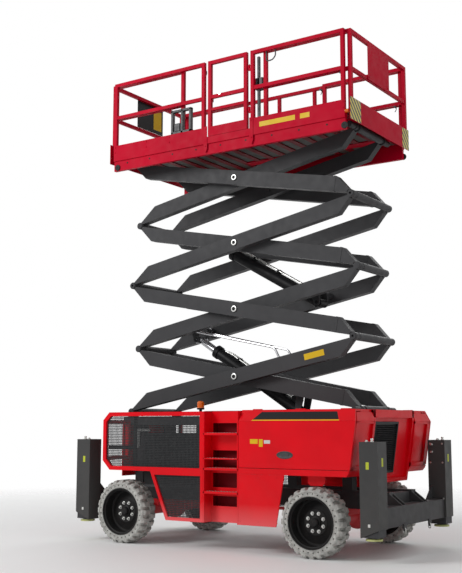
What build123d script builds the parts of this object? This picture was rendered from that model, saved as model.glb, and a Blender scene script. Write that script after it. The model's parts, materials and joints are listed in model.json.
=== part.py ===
"""Rough-terrain scissor lift with four outriggers and two roll-out deck extensions.

Millimetres, +Z up, +X towards the steered front axle, near side (ladder and gate) at -Y.
The origin is on the ground, at the centre of the machine's bounding box.
The platform stands part-raised: every scissor arm is at the angle that stage_rise gives.
"""
import os
from math import asin, atan2, cos, degrees, hypot, pi, radians, sin, sqrt

from build123d import *

os.makedirs("parts", exist_ok=True)

# ---- driving dimensions -------------------------------------------------------------------
clearance = 5.0                # between pieces that move past each other
fit = 0.05                     # radial clearance of a pin in its bore
end_x = 2362.0                 # outer face of the outrigger legs, front and rear
body_half = 1150.0             # outer face of covers, cages and tyres

# wheels and axles
wheel_radius = 428.0
tyre_width = 300.0
lug_height = 30.0
lugs_per_row = 16
rim_radius = 316.0
axle_front_x = 1440.0
axle_rear_x = -1560.0
axle_tube_radius = 85.0
kingpin_y = 790.0
hub_radius = 105.0

# scissor pack
stages = 4
pivot_x = -1845.0              # the fixed left-hand pins
pin_span = 3625.0              # from the left-hand to the right-hand pins, as parked
pivot_z = 1800.0               # the lowest pins
stage_rise = 930.0             # height of one stage, as parked
arm_depth = 200.0
arm_width = 120.0
pin_offset = 10.0              # from a pin's centre to the edge of its arm
outer_face = 585.0             # outer face of the outer arms
inner_face = 441.0             # outer face of the inner arms
pin_radius = 30.0
eye_radius = 50.0
tongue_width = 54.0
shaft_tube_radius = 52.0
roller_radius = 40.0
chamfer_a_left, chamfer_a_right = 330.0, 230.0
chamfer_b_left, lug_length = 265.0, 280.0

# lift cylinders: (u along the arm, w across it) of the anchor pins in each arm's own plane
barrel_radius, rod_radius = 85.0, 50.0
anchor_radius = 25.0
low_base = (2669.0, -458.0)    # on arm b1
low_head = (846.0, -40.0)      # on arm a2
high_base = (2900.0, -20.0)    # on arm a2
high_head = (1150.0, -110.0)   # on arm b3
anchor_half = 98.0             # half width of the eyes between an anchor's lugs
anchor_lug = 25.0              # thickness of those lugs

# chassis
frame_y0, frame_y1 = 270.0, 400.0
frame_z0, frame_z1 = 560.0, 780.0
deck_z = 1738.0                # upper side of the scissor base
deck_y0, deck_y1 = 447.0, 612.0
pod_top, pod_bottom = 1800.0, 1009.0
pod_inner_y = 612.0
skirt_bottom = 354.0

# outriggers
leg_width_x, leg_width_y = 241.0, 243.0
leg_outer_y = 1155.0
leg_top, leg_low_in, leg_low_out = 1408.0, 294.0, 393.0
leg_wall = 10.0
beam_z0, beam_z1 = 390.0, 630.0
eye_y, eye_z = 390.0, 360.0    # lashing eyes on the beams
eye_half = 38.0
eye_hole_radius = 14.0

# platform
plat_x0, plat_x1 = -1973.0, 1886.0
plat_half = 918.0
floor_rise = 80.0              # floor above the uppermost pins
rail_top = 1098.0              # top of the upper rail above the floor
rail_mid = 570.0
toe_top = 138.0
toe_bottom = -98.0
side_beam_bottom = -248.0
tube = 50.0
toe_thick = 18.0
ext_x1 = 1962.0                # outer face of the front extension
ext_x0 = -2049.0               # outer face of the rear extension
ext_half = 862.0              # outer face of the extensions' side rails
ext_length = 1330.0
gate_x0, gate_x1 = -254.0, 395.0

# ---- derived --------------------------------------------------------------------------------
arm_length = hypot(pin_span, stage_rise)
pin_angle = asin(stage_rise / arm_length)
arm_rise = arm_depth + 2 * pin_offset
arm_run = sqrt(arm_length**2 - arm_rise**2)
box_angle = pin_angle - atan2(arm_rise, arm_run)
right_x = pivot_x + pin_span
pin_z = [pivot_z + i * stage_rise for i in range(stages + 1)]
outer_y0 = outer_face - arm_width
inner_y0 = inner_face - arm_width
floor_z = pin_z[-1] + floor_rise
core_radius = wheel_radius - lug_height
tyre_inner_y = body_half - tyre_width
leg_inner_x = end_x - leg_width_x


# ---- helpers ----------------------------------------------------------------------------------
def block(x0, x1, y0, y1, z0, z1):
    """Box between two corners."""
    return Pos((x0 + x1) / 2, (y0 + y1) / 2, (z0 + z1) / 2) * Box(x1 - x0, y1 - y0, z1 - z0)


def prism(points, y0, y1):
    """Extrude an outline of (x, z) points from y0 to y1."""
    face = make_face(Polyline(*[(x, y0, z) for x, z in points], close=True))
    return extrude(face, amount=y1 - y0, dir=(0, 1, 0))


def prism_x(points, x0, x1):
    """Extrude an outline of (y, z) points from x0 to x1."""
    face = make_face(Polyline(*[(x0, y, z) for y, z in points], close=True))
    return extrude(face, amount=x1 - x0, dir=(1, 0, 0))


def rod_y(x, z, radius, y0, y1):
    """Cylinder along Y."""
    return Pos(x, (y0 + y1) / 2, z) * Cylinder(radius, y1 - y0, rotation=(90, 0, 0))


def rod_x(y, z, radius, x0, x1):
    """Cylinder along X."""
    return Pos((x0 + x1) / 2, y, z) * Cylinder(radius, x1 - x0, rotation=(0, 90, 0))


def rod_z(x, y, radius, z0, z1):
    """Cylinder along Z."""
    return Pos(x, y, (z0 + z1) / 2) * Cylinder(radius, z1 - z0)


def far(shape):
    """The same shape on the far side."""
    return mirror(shape, about=Plane.XZ)


def pair(shape):
    """A shape and its twin on the far side."""
    return [shape, far(shape)]


def rear(shape):
    """The same shape at the other end."""
    return mirror(shape, about=Plane.YZ)


nodes = {}


def put(name, *shapes):
    """Keep the solids of one node."""
    solids = [s for shape in shapes for s in shape.solids()]
    nodes[name] = solids[0] if len(solids) == 1 else Compound(solids)


# ---- scissor arms ---------------------------------------------------------------------------
def beam(kind, face_y, left_shaft, right_shaft):
    """One beam of an arm, in its own plane, its left pin at the origin; outer face at face_y."""
    y1, y0 = face_y, face_y - arm_width
    mid = (y0 + y1) / 2
    t0, t1 = mid - tongue_width / 2, mid + tongue_width / 2
    g0, g1 = t0 - clearance, t1 + clearance
    low, high = pin_offset, pin_offset + arm_depth
    if kind == "a":
        left, right = (0.0, 0.0), (arm_run, arm_rise)
        outline = [(-20, low), (chamfer_a_left, high), (arm_run + 20, high), (arm_run - chamfer_a_right, low)]
    else:
        left, right = (0.0, 0.0), (arm_run, -arm_rise)
        outline = [(-20, -low), (arm_run - lug_length + 40, -low), (arm_run + 20, -high), (chamfer_b_left, -high)]
    body = prism(outline, y0, y1)
    gap = eye_radius + clearance + 3
    for (u, w), shaft in ((left, left_shaft), (right, right_shaft)):
        if kind == "a":
            body += rod_y(u, w, eye_radius, y0, y1)
            body -= rod_y(u, w, gap, g0, g1)
            body -= rod_y(u, w, pin_radius + (0 if shaft else fit), y0 - 1, y1 + 1)
        else:
            body -= rod_y(u, w, gap, y0 - 1, t0)
            body -= rod_y(u, w, gap, t1, y1 + 1)
            body += rod_y(u, w, eye_radius, t0, t1)
            body -= rod_y(u, w, pin_radius + (0 if shaft else fit), t0 - 1, t1 + 1)
    if kind == "b":
        collar = block(arm_run - lug_length, arm_run - lug_length + 30, y0 - 4, y1 + 4, -high - 4, -low + 4)
        body += collar
    return body


def shaft(u, w, face_y, tube_y, reach):
    """Pin through both beams with the cross tube between them and a head at each end."""
    bar = rod_y(u, w, pin_radius, -reach, reach)
    bar += rod_y(u, w, shaft_tube_radius, -tube_y, tube_y)
    return bar


def arm(kind, stage, left_shaft, right_shaft, extras=()):
    """Near and far beam of one arm with the shafts it carries, at its place in the pack."""
    outer = (kind == "a") == (stage % 2 == 1)
    face_y = outer_face if outer else inner_face
    head = 12.0 if outer else 8.0
    one = beam(kind, face_y, left_shaft, right_shaft)
    middle = (arm_run / 2, arm_rise / 2 if kind == "a" else -arm_rise / 2)
    if outer:
        pin = rod_y(*middle, pin_radius, inner_y0 - 14, face_y + 6)
        pin += rod_y(*middle, 46, face_y, face_y + head)
        pin += rod_y(*middle, 46, face_y - arm_width - 8, face_y - arm_width)
        one += pin
    else:
        one -= rod_y(*middle, pin_radius + fit, inner_y0 - 1, face_y + 1)
    body = one + far(one)
    ends = {"left": (0.0, 0.0), "right": (arm_run, arm_rise if kind == "a" else -arm_rise)}
    for end, carried in (("left", left_shaft), ("right", right_shaft)):
        if not carried:
            continue
        u, w = ends[end]
        on_tongue = kind == "b"
        tube_y = face_y - arm_width - (clearance if on_tongue else 0)
        reach = face_y + head
        bar = shaft(u, w, face_y, tube_y, reach)
        body += bar
        if carried == "roller":
            continue
        for side in (-1, 1):
            y = side * (face_y + head / 2)
            body += Pos(u, y, w) * Cylinder(pin_radius + 14, head - 1, rotation=(90, 0, 0))
    if "roller" in (left_shaft, right_shaft):
        u, w = ends["right"]
        for side in (-1, 1):
            y0, y1 = sorted((side * (inner_face + 9), side * (outer_face + 5)))
            body += rod_y(u, w, roller_radius, y0, y1)
            y0, y1 = sorted((side * inner_y0, side * (outer_face + 5)))
            body += rod_y(u, w, pin_radius, y0, y1)
    for u, w in extras:
        body += anchor(kind, u, w)
    base_z = pin_z[stage - 1] if kind == "a" else pin_z[stage]
    angle = degrees(box_angle) if kind == "a" else -degrees(box_angle)
    return Pos(pivot_x, 0, base_z) * Rot(0, -angle, 0) * body


def anchor(kind, u, w):
    """Stub tube and lug on each beam; together they hold a lift cylinder's pin at (u, w)."""
    centre = arm_rise / 2 if kind == "a" else -arm_rise / 2
    lug_y = anchor_half + clearance + 2
    lug = rod_y(u, centre, 45, lug_y + anchor_lug, inner_y0)
    lug += rod_y(u, centre, 60, lug_y, lug_y + anchor_lug)
    if abs(w - centre) > 20:
        lug += prism([(u - 60, centre), (u - 45, w), (u + 45, w), (u + 60, centre)], lug_y, lug_y + anchor_lug)
    lug += rod_y(u, w, 48, lug_y, lug_y + anchor_lug)
    lug -= rod_y(u, w, anchor_radius + fit, lug_y - 1, lug_y + anchor_lug + 1)
    return lug + far(lug)


def place(kind, stage, point):
    """World (x, z) of a point given in an arm's own plane."""
    u, w = point
    angle = box_angle if kind == "a" else -box_angle
    base_z = pin_z[stage - 1] if kind == "a" else pin_z[stage]
    return pivot_x + u * cos(angle) - w * sin(angle), base_z + u * sin(angle) + w * cos(angle)


# kind, stage, left shaft, right shaft, cylinder anchors
arm_table = [
    ("a", 1, "pin", None, []),
    ("b", 1, None, "roller", [low_base]),
    ("a", 2, "pin", None, [low_head, high_base]),
    ("b", 2, None, "pin", []),
    ("a", 3, "pin", None, []),
    ("b", 3, None, "pin", [high_head]),
    ("a", 4, "pin", "roller", []),
    ("b", 4, "pin", "pin", []),
]
for kind, stage, left_shaft, right_shaft, anchors in arm_table:
    put(f"arm_{kind}{stage}", arm(kind, stage, left_shaft, right_shaft, anchors))


# ---- lift cylinders ---------------------------------------------------------------------------
def cylinder(base, head, barrel_length, ram_length):
    """Barrel and ram between two pins, (x, z) each."""
    length = hypot(head[0] - base[0], head[1] - base[1])
    angle = degrees(atan2(head[1] - base[1], head[0] - base[0]))
    bore = rod_radius + 12
    barrel = rod_x(0, 0, barrel_radius, 45, barrel_length)
    barrel += rod_x(0, 0, barrel_radius + 12, barrel_length - 70, barrel_length)
    barrel -= rod_x(0, 0, bore, 100, barrel_length + 1)
    barrel += rod_x(0, 0, bore + 1, barrel_length - 60, barrel_length)
    barrel -= rod_x(0, 0, rod_radius + fit, 100, barrel_length + 1)
    barrel += rod_y(0, 0, 60, -anchor_half, anchor_half)
    barrel += block(0, 70, -80, 80, -50, 50)
    pin_y = anchor_half + clearance + 2 + anchor_lug
    barrel += rod_y(0, 0, anchor_radius, -pin_y, pin_y)
    rod = rod_x(0, 0, rod_radius, length - 50 - ram_length, length - 50)
    rod += rod_y(length, 0, 55, -anchor_half, anchor_half)
    rod -= rod_y(length, 0, anchor_radius + 3, -anchor_half - 1, anchor_half + 1)
    where = Pos(base[0], 0, base[1]) * Rot(0, -angle, 0)
    return where * barrel, where * rod


# name, base arm and point, head arm and point, barrel length, ram length
cylinder_table = [
    ("low", ("b", 1, low_base), ("a", 2, low_head), 1680.0, 1570.0),
    ("high", ("a", 2, high_base), ("b", 3, high_head), 1665.0, 1570.0),
]
for name, base, head, barrel_length, ram_length in cylinder_table:
    barrel, rod = cylinder(place(*base), place(*head), barrel_length, ram_length)
    put(f"cylinder_{name}", barrel)
    put(f"ram_{name}", rod)

# ---- chassis frame ------------------------------------------------------------------------------
frame = block(-leg_inner_x, leg_inner_x, frame_y0, frame_y1, frame_z0, frame_z1)
frame += far(frame)
for x in (-2060, -900, 700, 2060):
    frame += block(x - 60, x + 60, -frame_y0, frame_y0, frame_z0 + 20, frame_z1 - 20)
frame += block(-1250, -250, -1000, -frame_y1, 770, 800)
put("chassis_frame", frame)

base = Part()
for x0 in (-1900, -800, 300, 1500):
    base += block(x0, x0 + 140, frame_y0, frame_y1, frame_z1, deck_z - 30)
base += block(-1960, 2000, frame_y0, deck_y1, deck_z - 130, deck_z - 12)
base += block(-500, 1985, deck_y0, deck_y1, deck_z - 12, pivot_z - roller_radius - 0.5)
base += block(-500, 1985, deck_y1 - 12, deck_y1, deck_z - 12, pivot_z)
ear_mid = (outer_y0 + outer_face) / 2
ear = prism(
    [(pivot_x - 90, deck_z - 20), (pivot_x - eye_radius, pivot_z), (pivot_x + eye_radius, pivot_z),
     (pivot_x + 90, deck_z - 20)],
    ear_mid - tongue_width / 2, ear_mid + tongue_width / 2)
ear += rod_y(pivot_x, pivot_z, eye_radius, ear_mid - tongue_width / 2, ear_mid + tongue_width / 2)
ear -= rod_y(pivot_x, pivot_z, pin_radius + fit, outer_y0, outer_face)
base += ear
base += far(base)
for x in (-1860, -1000, 1880):
    base += block(x - 50, x + 50, -frame_y0, frame_y0, deck_z - 120, deck_z - 30)
put("scissor_base", base)

# ---- axles ------------------------------------------------------------------------------------
front_axle = rod_y(axle_front_x, wheel_radius, axle_tube_radius, -(kingpin_y - 70), kingpin_y - 70)
front_axle += Pos(axle_front_x, 120, wheel_radius) * Sphere(170)
front_axle += block(axle_front_x - 110, axle_front_x + 110, -frame_y1, frame_y1, wheel_radius + 40, frame_z0)
for side in (-1, 1):
    y0, y1 = sorted((side * (kingpin_y - 75), side * (kingpin_y + 45)))
    for z0, z1 in ((wheel_radius + 95, wheel_radius + 125), (wheel_radius - 125, wheel_radius - 95)):
        front_axle += block(axle_front_x - 60, axle_front_x + 60, y0, y1, z0, z1)
    y0, y1 = sorted((side * (kingpin_y - 100), side * (kingpin_y - 70)))
    front_axle += block(axle_front_x - 60, axle_front_x + 60, y0, y1, wheel_radius - 125, wheel_radius + 125)
    for z0, z1 in ((wheel_radius + 60, wheel_radius + 130), (wheel_radius - 130, wheel_radius - 60)):
        front_axle += rod_z(axle_front_x, side * kingpin_y, 22, z0, z1)
rear_axle = rod_y(axle_rear_x, wheel_radius, axle_tube_radius, -(tyre_inner_y - 10), tyre_inner_y - 10)
rear_axle += Pos(axle_rear_x, 120, wheel_radius) * Sphere(170)
rear_axle += block(axle_rear_x - 110, axle_rear_x + 110, -frame_y1, frame_y1, wheel_radius + 40, frame_z0)
rear_axle += rod_y(axle_rear_x, wheel_radius, 40, -(tyre_inner_y + 130), tyre_inner_y + 130)
put("axle_front", front_axle)
put("axle_rear", rear_axle)

for side, tag in ((-1, "near"), (1, "far")):
    y0, y1 = sorted((side * (kingpin_y - 45), side * (tyre_inner_y + 10)))
    knuckle = block(axle_front_x - 50, axle_front_x + 50, y0, y1, wheel_radius - 90, wheel_radius + 90)
    for z0, z1 in ((wheel_radius + 59, wheel_radius + 91), (wheel_radius - 91, wheel_radius - 59)):
        knuckle -= rod_z(axle_front_x, side * kingpin_y, 22 + fit, z0, z1)
    y0, y1 = sorted((side * (tyre_inner_y + 5), side * (tyre_inner_y + 130)))
    knuckle += rod_y(axle_front_x, wheel_radius, 40, y0, y1)
    put(f"knuckle_{tag}", knuckle)


# ---- wheels -----------------------------------------------------------------------------------
def spun(points, x, side):
    """Revolve (radius, y) points about a wheel's axle; y counts outwards from the tyre's inner face."""
    face = make_face(Polyline(*[(r, y, 0) for r, y in points], close=True))
    solid = revolve(face, Axis.Y, 360)
    solid = Pos(x, tyre_inner_y, wheel_radius) * solid
    return solid if side > 0 else far(solid)


rim_profile = [
    (40 + fit, 30), (hub_radius, 30), (hub_radius, 60), (rim_radius - 40, 90), (rim_radius - 40, 10),
    (rim_radius, 10), (rim_radius, tyre_width - 10), (rim_radius - 14, tyre_width - 10),
    (rim_radius - 30, 120), (hub_radius, 90), (hub_radius, 150), (70, 150), (70, 140), (40 + fit, 140),
]
core_profile = [
    (rim_radius + 0.3, 22), (core_radius - 45, 8), (core_radius - 8, 26), (core_radius, 60),
    (core_radius, tyre_width - 60), (core_radius - 8, tyre_width - 26), (core_radius - 45, tyre_width - 8),
    (rim_radius + 0.3, tyre_width - 22),
]


def tyre_solid(x, side):
    """Solid tyre with two rows of staggered lugs."""
    solid = spun(core_profile, x, side)
    pitch = 360 / lugs_per_row
    lugs = []
    for i in range(lugs_per_row):
        for row, turn in ((0, 0.0), (1, pitch / 2)):
            y0, y1 = (4, tyre_width / 2 - 6) if row == 0 else (tyre_width / 2 + 6, tyre_width - 4)
            lug = block(-42, 42, tyre_inner_y + y0, tyre_inner_y + y1, core_radius - 30, wheel_radius)
            if side < 0:
                lug = far(lug)
            lugs.append(Pos(x, 0, wheel_radius) * Rot(0, i * pitch + turn, 0) * lug)
    return solid.fuse(*lugs)


for x, end in ((axle_front_x, "front"), (axle_rear_x, "rear")):
    for side, tag in ((-1, "near"), (1, "far")):
        put(f"rim_{end}_{tag}", spun(rim_profile, x, side))
        put(f"tyre_{end}_{tag}", tyre_solid(x, side))

# ---- engine, tanks and covers -------------------------------------------------------------------
put("engine_block", block(-1250, -250, -1000, -pod_inner_y + 40, 800, 1500))

cage_x0, cage_x1 = -1882.0, -150.0
cage_bar = 55.0
outline = [
    (cage_x0 + 110, pod_top - 15), (cage_x1, pod_top - 15), (cage_x1, pod_bottom - 20),
    (cage_x0 + 130, pod_bottom - 20), (cage_x0, pod_bottom + 110), (cage_x0, pod_top - 125),
]


def ring(points, y0, y1, width):
    """Closed frame of constant width along an outline."""
    outside = make_face(Polyline(*[(x, y0, z) for x, z in points], close=True))
    inside = offset(outside, amount=-width, kind=Kind.INTERSECTION)
    return extrude(outside, amount=y1 - y0, dir=(0, 1, 0)) - extrude(inside, amount=y1 - y0, dir=(0, 1, 0))


cage = ring(outline, -body_half, -body_half + cage_bar, cage_bar)
cage += block(cage_x0, cage_x0 + cage_bar, -body_half + cage_bar, -pod_inner_y, pod_top - 180, pod_top - 130)
cage += block(cage_x0, cage_x0 + cage_bar, -body_half + cage_bar, -pod_inner_y, pod_bottom + 115, pod_bottom + 165)
cage += block(cage_x0, cage_x0 + cage_bar, -pod_inner_y - 50, -pod_inner_y, pod_bottom + 165, pod_top - 180)
cage += block(cage_x1 - cage_bar, cage_x1, -body_half + cage_bar, -deck_y1, pod_bottom - 20, pod_bottom + 30)
cage += block(cage_x1 - cage_bar, cage_x1, -body_half + cage_bar, -deck_y1, pod_top - 150, pod_top - 100)
put("cage_frames", *pair(cage))

inner = offset(make_face(Polyline(*[(x, -body_half + 20, z) for x, z in outline], close=True)),
               amount=-cage_bar, kind=Kind.INTERSECTION)
mesh = extrude(inner, amount=6, dir=(0, 1, 0))
put("mesh_panels", *pair(mesh))

skirt_outline = [(-1031, pod_bottom - 20), (-758, skirt_bottom), (962, skirt_bottom), (1085, pod_bottom - 20)]
skirt = prism(skirt_outline, -body_half, -body_half + 16)
skirt -= block(-4, 386, -body_half - 1, -body_half + 25, skirt_bottom - 1, pod_bottom)
skirt_parts = [s for s in skirt.solids()]
put("skirts", *skirt_parts, *[far(s) for s in skirt_parts])

ladder_x0, ladder_x1 = -150.0, 403.0
ladder = block(ladder_x0, ladder_x1, -body_half, -body_half + 30, pod_bottom - 20, pod_top - 12)
ladder += block(-4, 386, -body_half, -body_half + 30, skirt_bottom, pod_bottom - 20)
for z0, z1 in ((1504, 1633), (1172, 1274), (779, 981), (552, 678)):
    ladder -= block(40, 370, -body_half - 1, -body_half + 31, z0, z1)
    ladder += block(30, 380, -body_half + 30, -body_half + 230, z0 - 30, z0)
    ladder += block(30, 380, -body_half + 200, -body_half + 230, z0, z1)
put("ladder", ladder)
blank = block(ladder_x0, ladder_x1, body_half - 30, body_half, pod_bottom - 20, pod_top - 12)
blank += block(-4, 386, body_half - 30, body_half, skirt_bottom, pod_bottom - 20)
put("side_panel_far", blank)

pod_x0, pod_x1 = 403.0, 2064.0
cover_points = [
    (-body_half, pod_bottom + 60), (-body_half, 1657), (-1060, pod_top), (-930, pod_top), (-930, pod_top - 26),
    (-1048, pod_top - 26), (-body_half + 26, 1645), (-body_half + 26, pod_bottom + 60),
]
cover = prism_x(cover_points, pod_x0, 1990)
cover_pin_y, cover_pin_z = -925.0, pod_top + 7
cover_hinges = (560.0, 1200.0, 1840.0)
for x in cover_hinges:
    cover += block(x - 40, x + 40, -970, cover_pin_y, pod_top, pod_top + 4)
    cover += rod_x(cover_pin_y, cover_pin_z, 6, x - 40, x + 40)
    cover -= rod_x(cover_pin_y, cover_pin_z, 3 + fit, x - 41, x + 41)
for side, tag in ((-1, "near"), (1, "far")):
    put(f"cover_{tag}", cover if side < 0 else far(cover))

pod = block(pod_x0, pod_x1 - 74, -body_half, -pod_inner_y, pod_bottom - 20, pod_bottom + 55)
pod += block(pod_x1 - 74 + clearance, pod_x1, -body_half, -pod_inner_y, pod_bottom + 20, 1640)
pod += block(pod_x1 - 74 + clearance, pod_x1 - 40, -body_half + 60, -pod_inner_y, 1640, pod_top)
pod += block(pod_x1 - 74 - 10, pod_x1 - 60, -body_half + 40, -pod_inner_y, pod_bottom + 20, pod_bottom + 60)
pod += prism_x([(-body_half + 34, pod_bottom + 55), (-body_half + 34, 1630), (-1050, pod_top - 40), (-pod_inner_y, pod_top - 40),
                (-pod_inner_y, pod_bottom + 55)], pod_x0, pod_x0 + 20)
pod += block(pod_x0, pod_x1 - 60, -pod_inner_y - 20, -pod_inner_y, pod_bottom + 50, pod_top - 40)
pod += block(pod_x0, pod_x1 - 60, -920, -pod_inner_y, pod_top - 40, pod_top)
for x in cover_hinges:
    for x0, x1 in ((x - 70, x - 41), (x + 41, x + 70)):
        pod += block(x0, x1, cover_pin_y, -880, pod_top, pod_top + 4)
        pod += rod_x(cover_pin_y, cover_pin_z, 6, x0, x1)
    pod += rod_x(cover_pin_y, cover_pin_z, 3, x - 60, x + 60)
put("pods", *pair(pod))
put("tank_blocks", *pair(block(700, 1500, -1000, -pod_inner_y - 60, pod_bottom + 55, 1500)))

front = block(2000, 2064, -pod_inner_y, pod_inner_y, 1680, pod_top)
front += block(2000, 2024, -pod_inner_y, pod_inner_y, 930, 1700)
front += block(2000, 2064, -pod_inner_y, pod_inner_y, 880, 930)
put("front_panel", front)
back = block(-1980, -1960, -pod_inner_y, pod_inner_y, 880, deck_z - 60)
put("rear_panel", back)

# ---- outriggers ---------------------------------------------------------------------------------
beam_bar = block(leg_inner_x + 30, end_x - 30, -(leg_outer_y - leg_width_y), leg_outer_y - leg_width_y,
                 beam_z0, beam_z1)
eye_plate = prism_x([(-eye_half, beam_z0 + 20), (eye_half, beam_z0 + 20), (eye_half, eye_z), (eye_half / 2, eye_z - eye_half),
                     (-eye_half / 2, eye_z - eye_half), (-eye_half, eye_z)], end_x - 30, end_x - 10)
eye_plate -= rod_x(0, eye_z, eye_hole_radius, end_x - 31, end_x - 9)
for y in (-eye_y, eye_y):
    beam_bar += Pos(0, y, 0) * eye_plate
link = block(leg_inner_x, leg_inner_x + 30, frame_y0, frame_y1, frame_z0, frame_z1)
link += far(link)
put("outrigger_beams", *[s + t for s, t in ((beam_bar, link), (rear(beam_bar), rear(link)))])

leg_y1 = leg_outer_y
leg_y0 = leg_outer_y - leg_width_y
casing = prism([(leg_inner_x, leg_low_in), (end_x, leg_low_out), (end_x, leg_top), (leg_inner_x, leg_top)],
               leg_y0, leg_y1)
casing -= block(leg_inner_x + leg_wall, end_x - leg_wall, leg_y0 + leg_wall, leg_y1 - leg_wall,
                leg_low_in - 10, leg_top - leg_wall)
put("leg_casings", casing, far(casing), rear(casing), far(rear(casing)))

foot_gap = leg_wall + clearance + 1
foot = block(leg_inner_x + foot_gap, end_x - foot_gap, leg_y0 + foot_gap, leg_y1 - foot_gap, 300, 1380)
foot += rod_z((leg_inner_x + end_x) / 2, (leg_y0 + leg_y1) / 2, 60, 280, 301)
foot += rod_z((leg_inner_x + end_x) / 2, (leg_y0 + leg_y1) / 2, 100, 262, 284)
for tag, solid in (("front_far", foot), ("front_near", far(foot)), ("rear_far", rear(foot)),
                   ("rear_near", far(rear(foot)))):
    put(f"foot_{tag}", solid)

# ---- small chassis pieces -----------------------------------------------------------------------
beacon = rod_z(-258, -1055, 12, pod_top - 21, 1850)
beacon += rod_z(-258, -1055, 40, 1850, 1862)
beacon += rod_z(-258, -1055, 34, 1862, 1925)
beacon += block(-290, -226, -body_half + cage_bar, -1020, pod_top - 60, pod_top - 20)
put("beacon", beacon)

# ---- platform -----------------------------------------------------------------------------------
beam_y1 = plat_half - 18
beam_y0 = beam_y1 - 50
deck = block(plat_x0, plat_x1, -beam_y1, beam_y1, floor_z - 20, floor_z)
for y in (-beam_y1, beam_y0):
    deck += block(plat_x0, plat_x1, y, y + 50, floor_z + side_beam_bottom, floor_z - 20)
track_z = pin_z[-1] + roller_radius + 0.5
for side in (-1, 1):
    y0, y1 = sorted((side * deck_y0, side * deck_y1))
    deck += block(-500, plat_x1, y0, y1, track_z, floor_z - 20)
    mid = side * ear_mid
    for e0, e1 in ((outer_y0, ear_mid - tongue_width / 2 - clearance), (ear_mid + tongue_width / 2 + clearance, outer_face)):
        y0, y1 = sorted((side * e0, side * e1))
        deck += prism([(pivot_x - 70, floor_z - 20), (pivot_x - eye_radius, pin_z[-1]),
                       (pivot_x + eye_radius, pin_z[-1]), (pivot_x + 70, floor_z - 20)], y0, y1)
        deck += rod_y(pivot_x, pin_z[-1], eye_radius, y0, y1)
        deck -= rod_y(pivot_x, pin_z[-1], pin_radius + fit, y0 - 1, y1 + 1)

for y0 in (-plat_half, plat_half - toe_thick):
    deck += block(plat_x0, plat_x1, y0, y0 + toe_thick, floor_z + toe_bottom, floor_z)
put("platform_deck", deck)

top0, top1 = floor_z + rail_top - tube, floor_z + rail_top
mid0, mid1 = floor_z + rail_mid - tube / 2, floor_z + rail_mid + tube / 2
toe1 = floor_z + toe_top


def rail_panel(x0, x1, posts, y0, y1, foot_z=floor_z):
    """Guard rail panel: top rail, mid rail, toe board and posts, between x0 and x1."""
    panel = block(x0, x1, y0, y1, top0, top1)
    panel += block(x0, x1, y0 + 5, y1 - 5, mid0, mid1)
    toe_y = (y0, y0 + toe_thick) if y0 < 0 else (y1 - toe_thick, y1)
    panel += block(x0, x1, *toe_y, foot_z, toe1)
    for x in posts:
        panel += block(x, x + tube, y0, y1, foot_z, top0)
    return panel


near0, near1 = -plat_half, -plat_half + tube
hinge_x = gate_x1 + 31
hinge_y = near1 - 25
hinge_z = (floor_z + 250, floor_z + 850)
hinge_pin = 6.0
near_rear = rail_panel(plat_x0, gate_x0 - 62, [plat_x0, gate_x0 - 112], near0, near1)
near_front = rail_panel(gate_x1 + 62, plat_x1, [gate_x1 + 62, plat_x1 - tube], near0, near1)
for z in hinge_z:
    near_front += block(hinge_x - 10, gate_x1 + 62, hinge_y - 10, hinge_y + 10, z - 25, z - 1)
    near_front += rod_z(hinge_x, hinge_y, hinge_pin, z - 2, z + 70)
put("rails_near", near_rear, near_front)
far_rails = rail_panel(plat_x0, plat_x1, [plat_x0, -700, 560, plat_x1 - tube], plat_half - tube, plat_half)
put("rails_far", far_rails)

gate = rail_panel(gate_x0, gate_x1, [gate_x0, gate_x1 - tube], near0, near1, floor_z + clearance)
gate += block(gate_x0, gate_x1, near0 + 8, near1 - 8, floor_z + 370, floor_z + 410)
for z in hinge_z:
    gate += rod_z(hinge_x, hinge_y, 12, z, z + 60) + block(gate_x1, hinge_x, hinge_y - 8, hinge_y + 8, z + 5, z + 55)
    gate -= rod_z(hinge_x, hinge_y, hinge_pin + fit, z - 1, z + 61)
put("gate", gate)

control = block(475, 615, near1, near1 + 150, floor_z + 420, floor_z + 650)
put("control_box", control)


def extension(x_in, x_out):
    """Roll-out deck: floor plate, side rails and end rail; x_out is its outer end."""
    x0, x1 = sorted((x_in, x_out))
    out0, out1 = (x1 - tube, x1) if x_out > x_in else (x0, x0 + tube)
    in0, in1 = (x0, x0 + tube) if x_out > x_in else (x1 - tube, x1)
    body = block(x0, x1, -ext_half, ext_half, floor_z + 6, floor_z + 26)
    for y0 in (-ext_half, ext_half - tube):
        y1 = y0 + tube
        body += block(x0, x1, y0, y1, top0, top1)
        body += block(x0, x1, y0 + 5, y1 - 5, mid0, mid1)
        body += block(out0, out1, y0, y1, floor_z + 26, top0)
        body += block(in0, in1, y0, y1, floor_z + 26, top0)
    body += block(out0, out1, -ext_half, ext_half, top0, top1)
    body += block(out0 + 5, out1 - 5, -ext_half, ext_half, mid0, mid1)
    toe_x0, toe_x1 = (x1 - 6, x1) if x_out > x_in else (x0, x0 + 6)
    body += block(toe_x0, toe_x1, -ext_half - 50, ext_half + 50, floor_z - 125, floor_z + 174)
    return body


put("extension_front", extension(ext_x1 - ext_length, ext_x1))
put("extension_rear", extension(ext_x0 + ext_length, ext_x0))

# ---- write every node ---------------------------------------------------------------------------
for name, shape in nodes.items():
    export_step(shape, f"parts/{name}.step")
print(len(nodes), "nodes")
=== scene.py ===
"""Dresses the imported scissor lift: paint and rubber, mesh, bolts, pipes, labels, light and camera.

Metres, +Z up, near side at -Y, steered front axle at +X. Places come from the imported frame's boxes.
"""
import json
from math import atan2, cos, pi, radians, sin, sqrt

import bmesh
import bpy
from mathutils import Matrix, Vector


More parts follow.
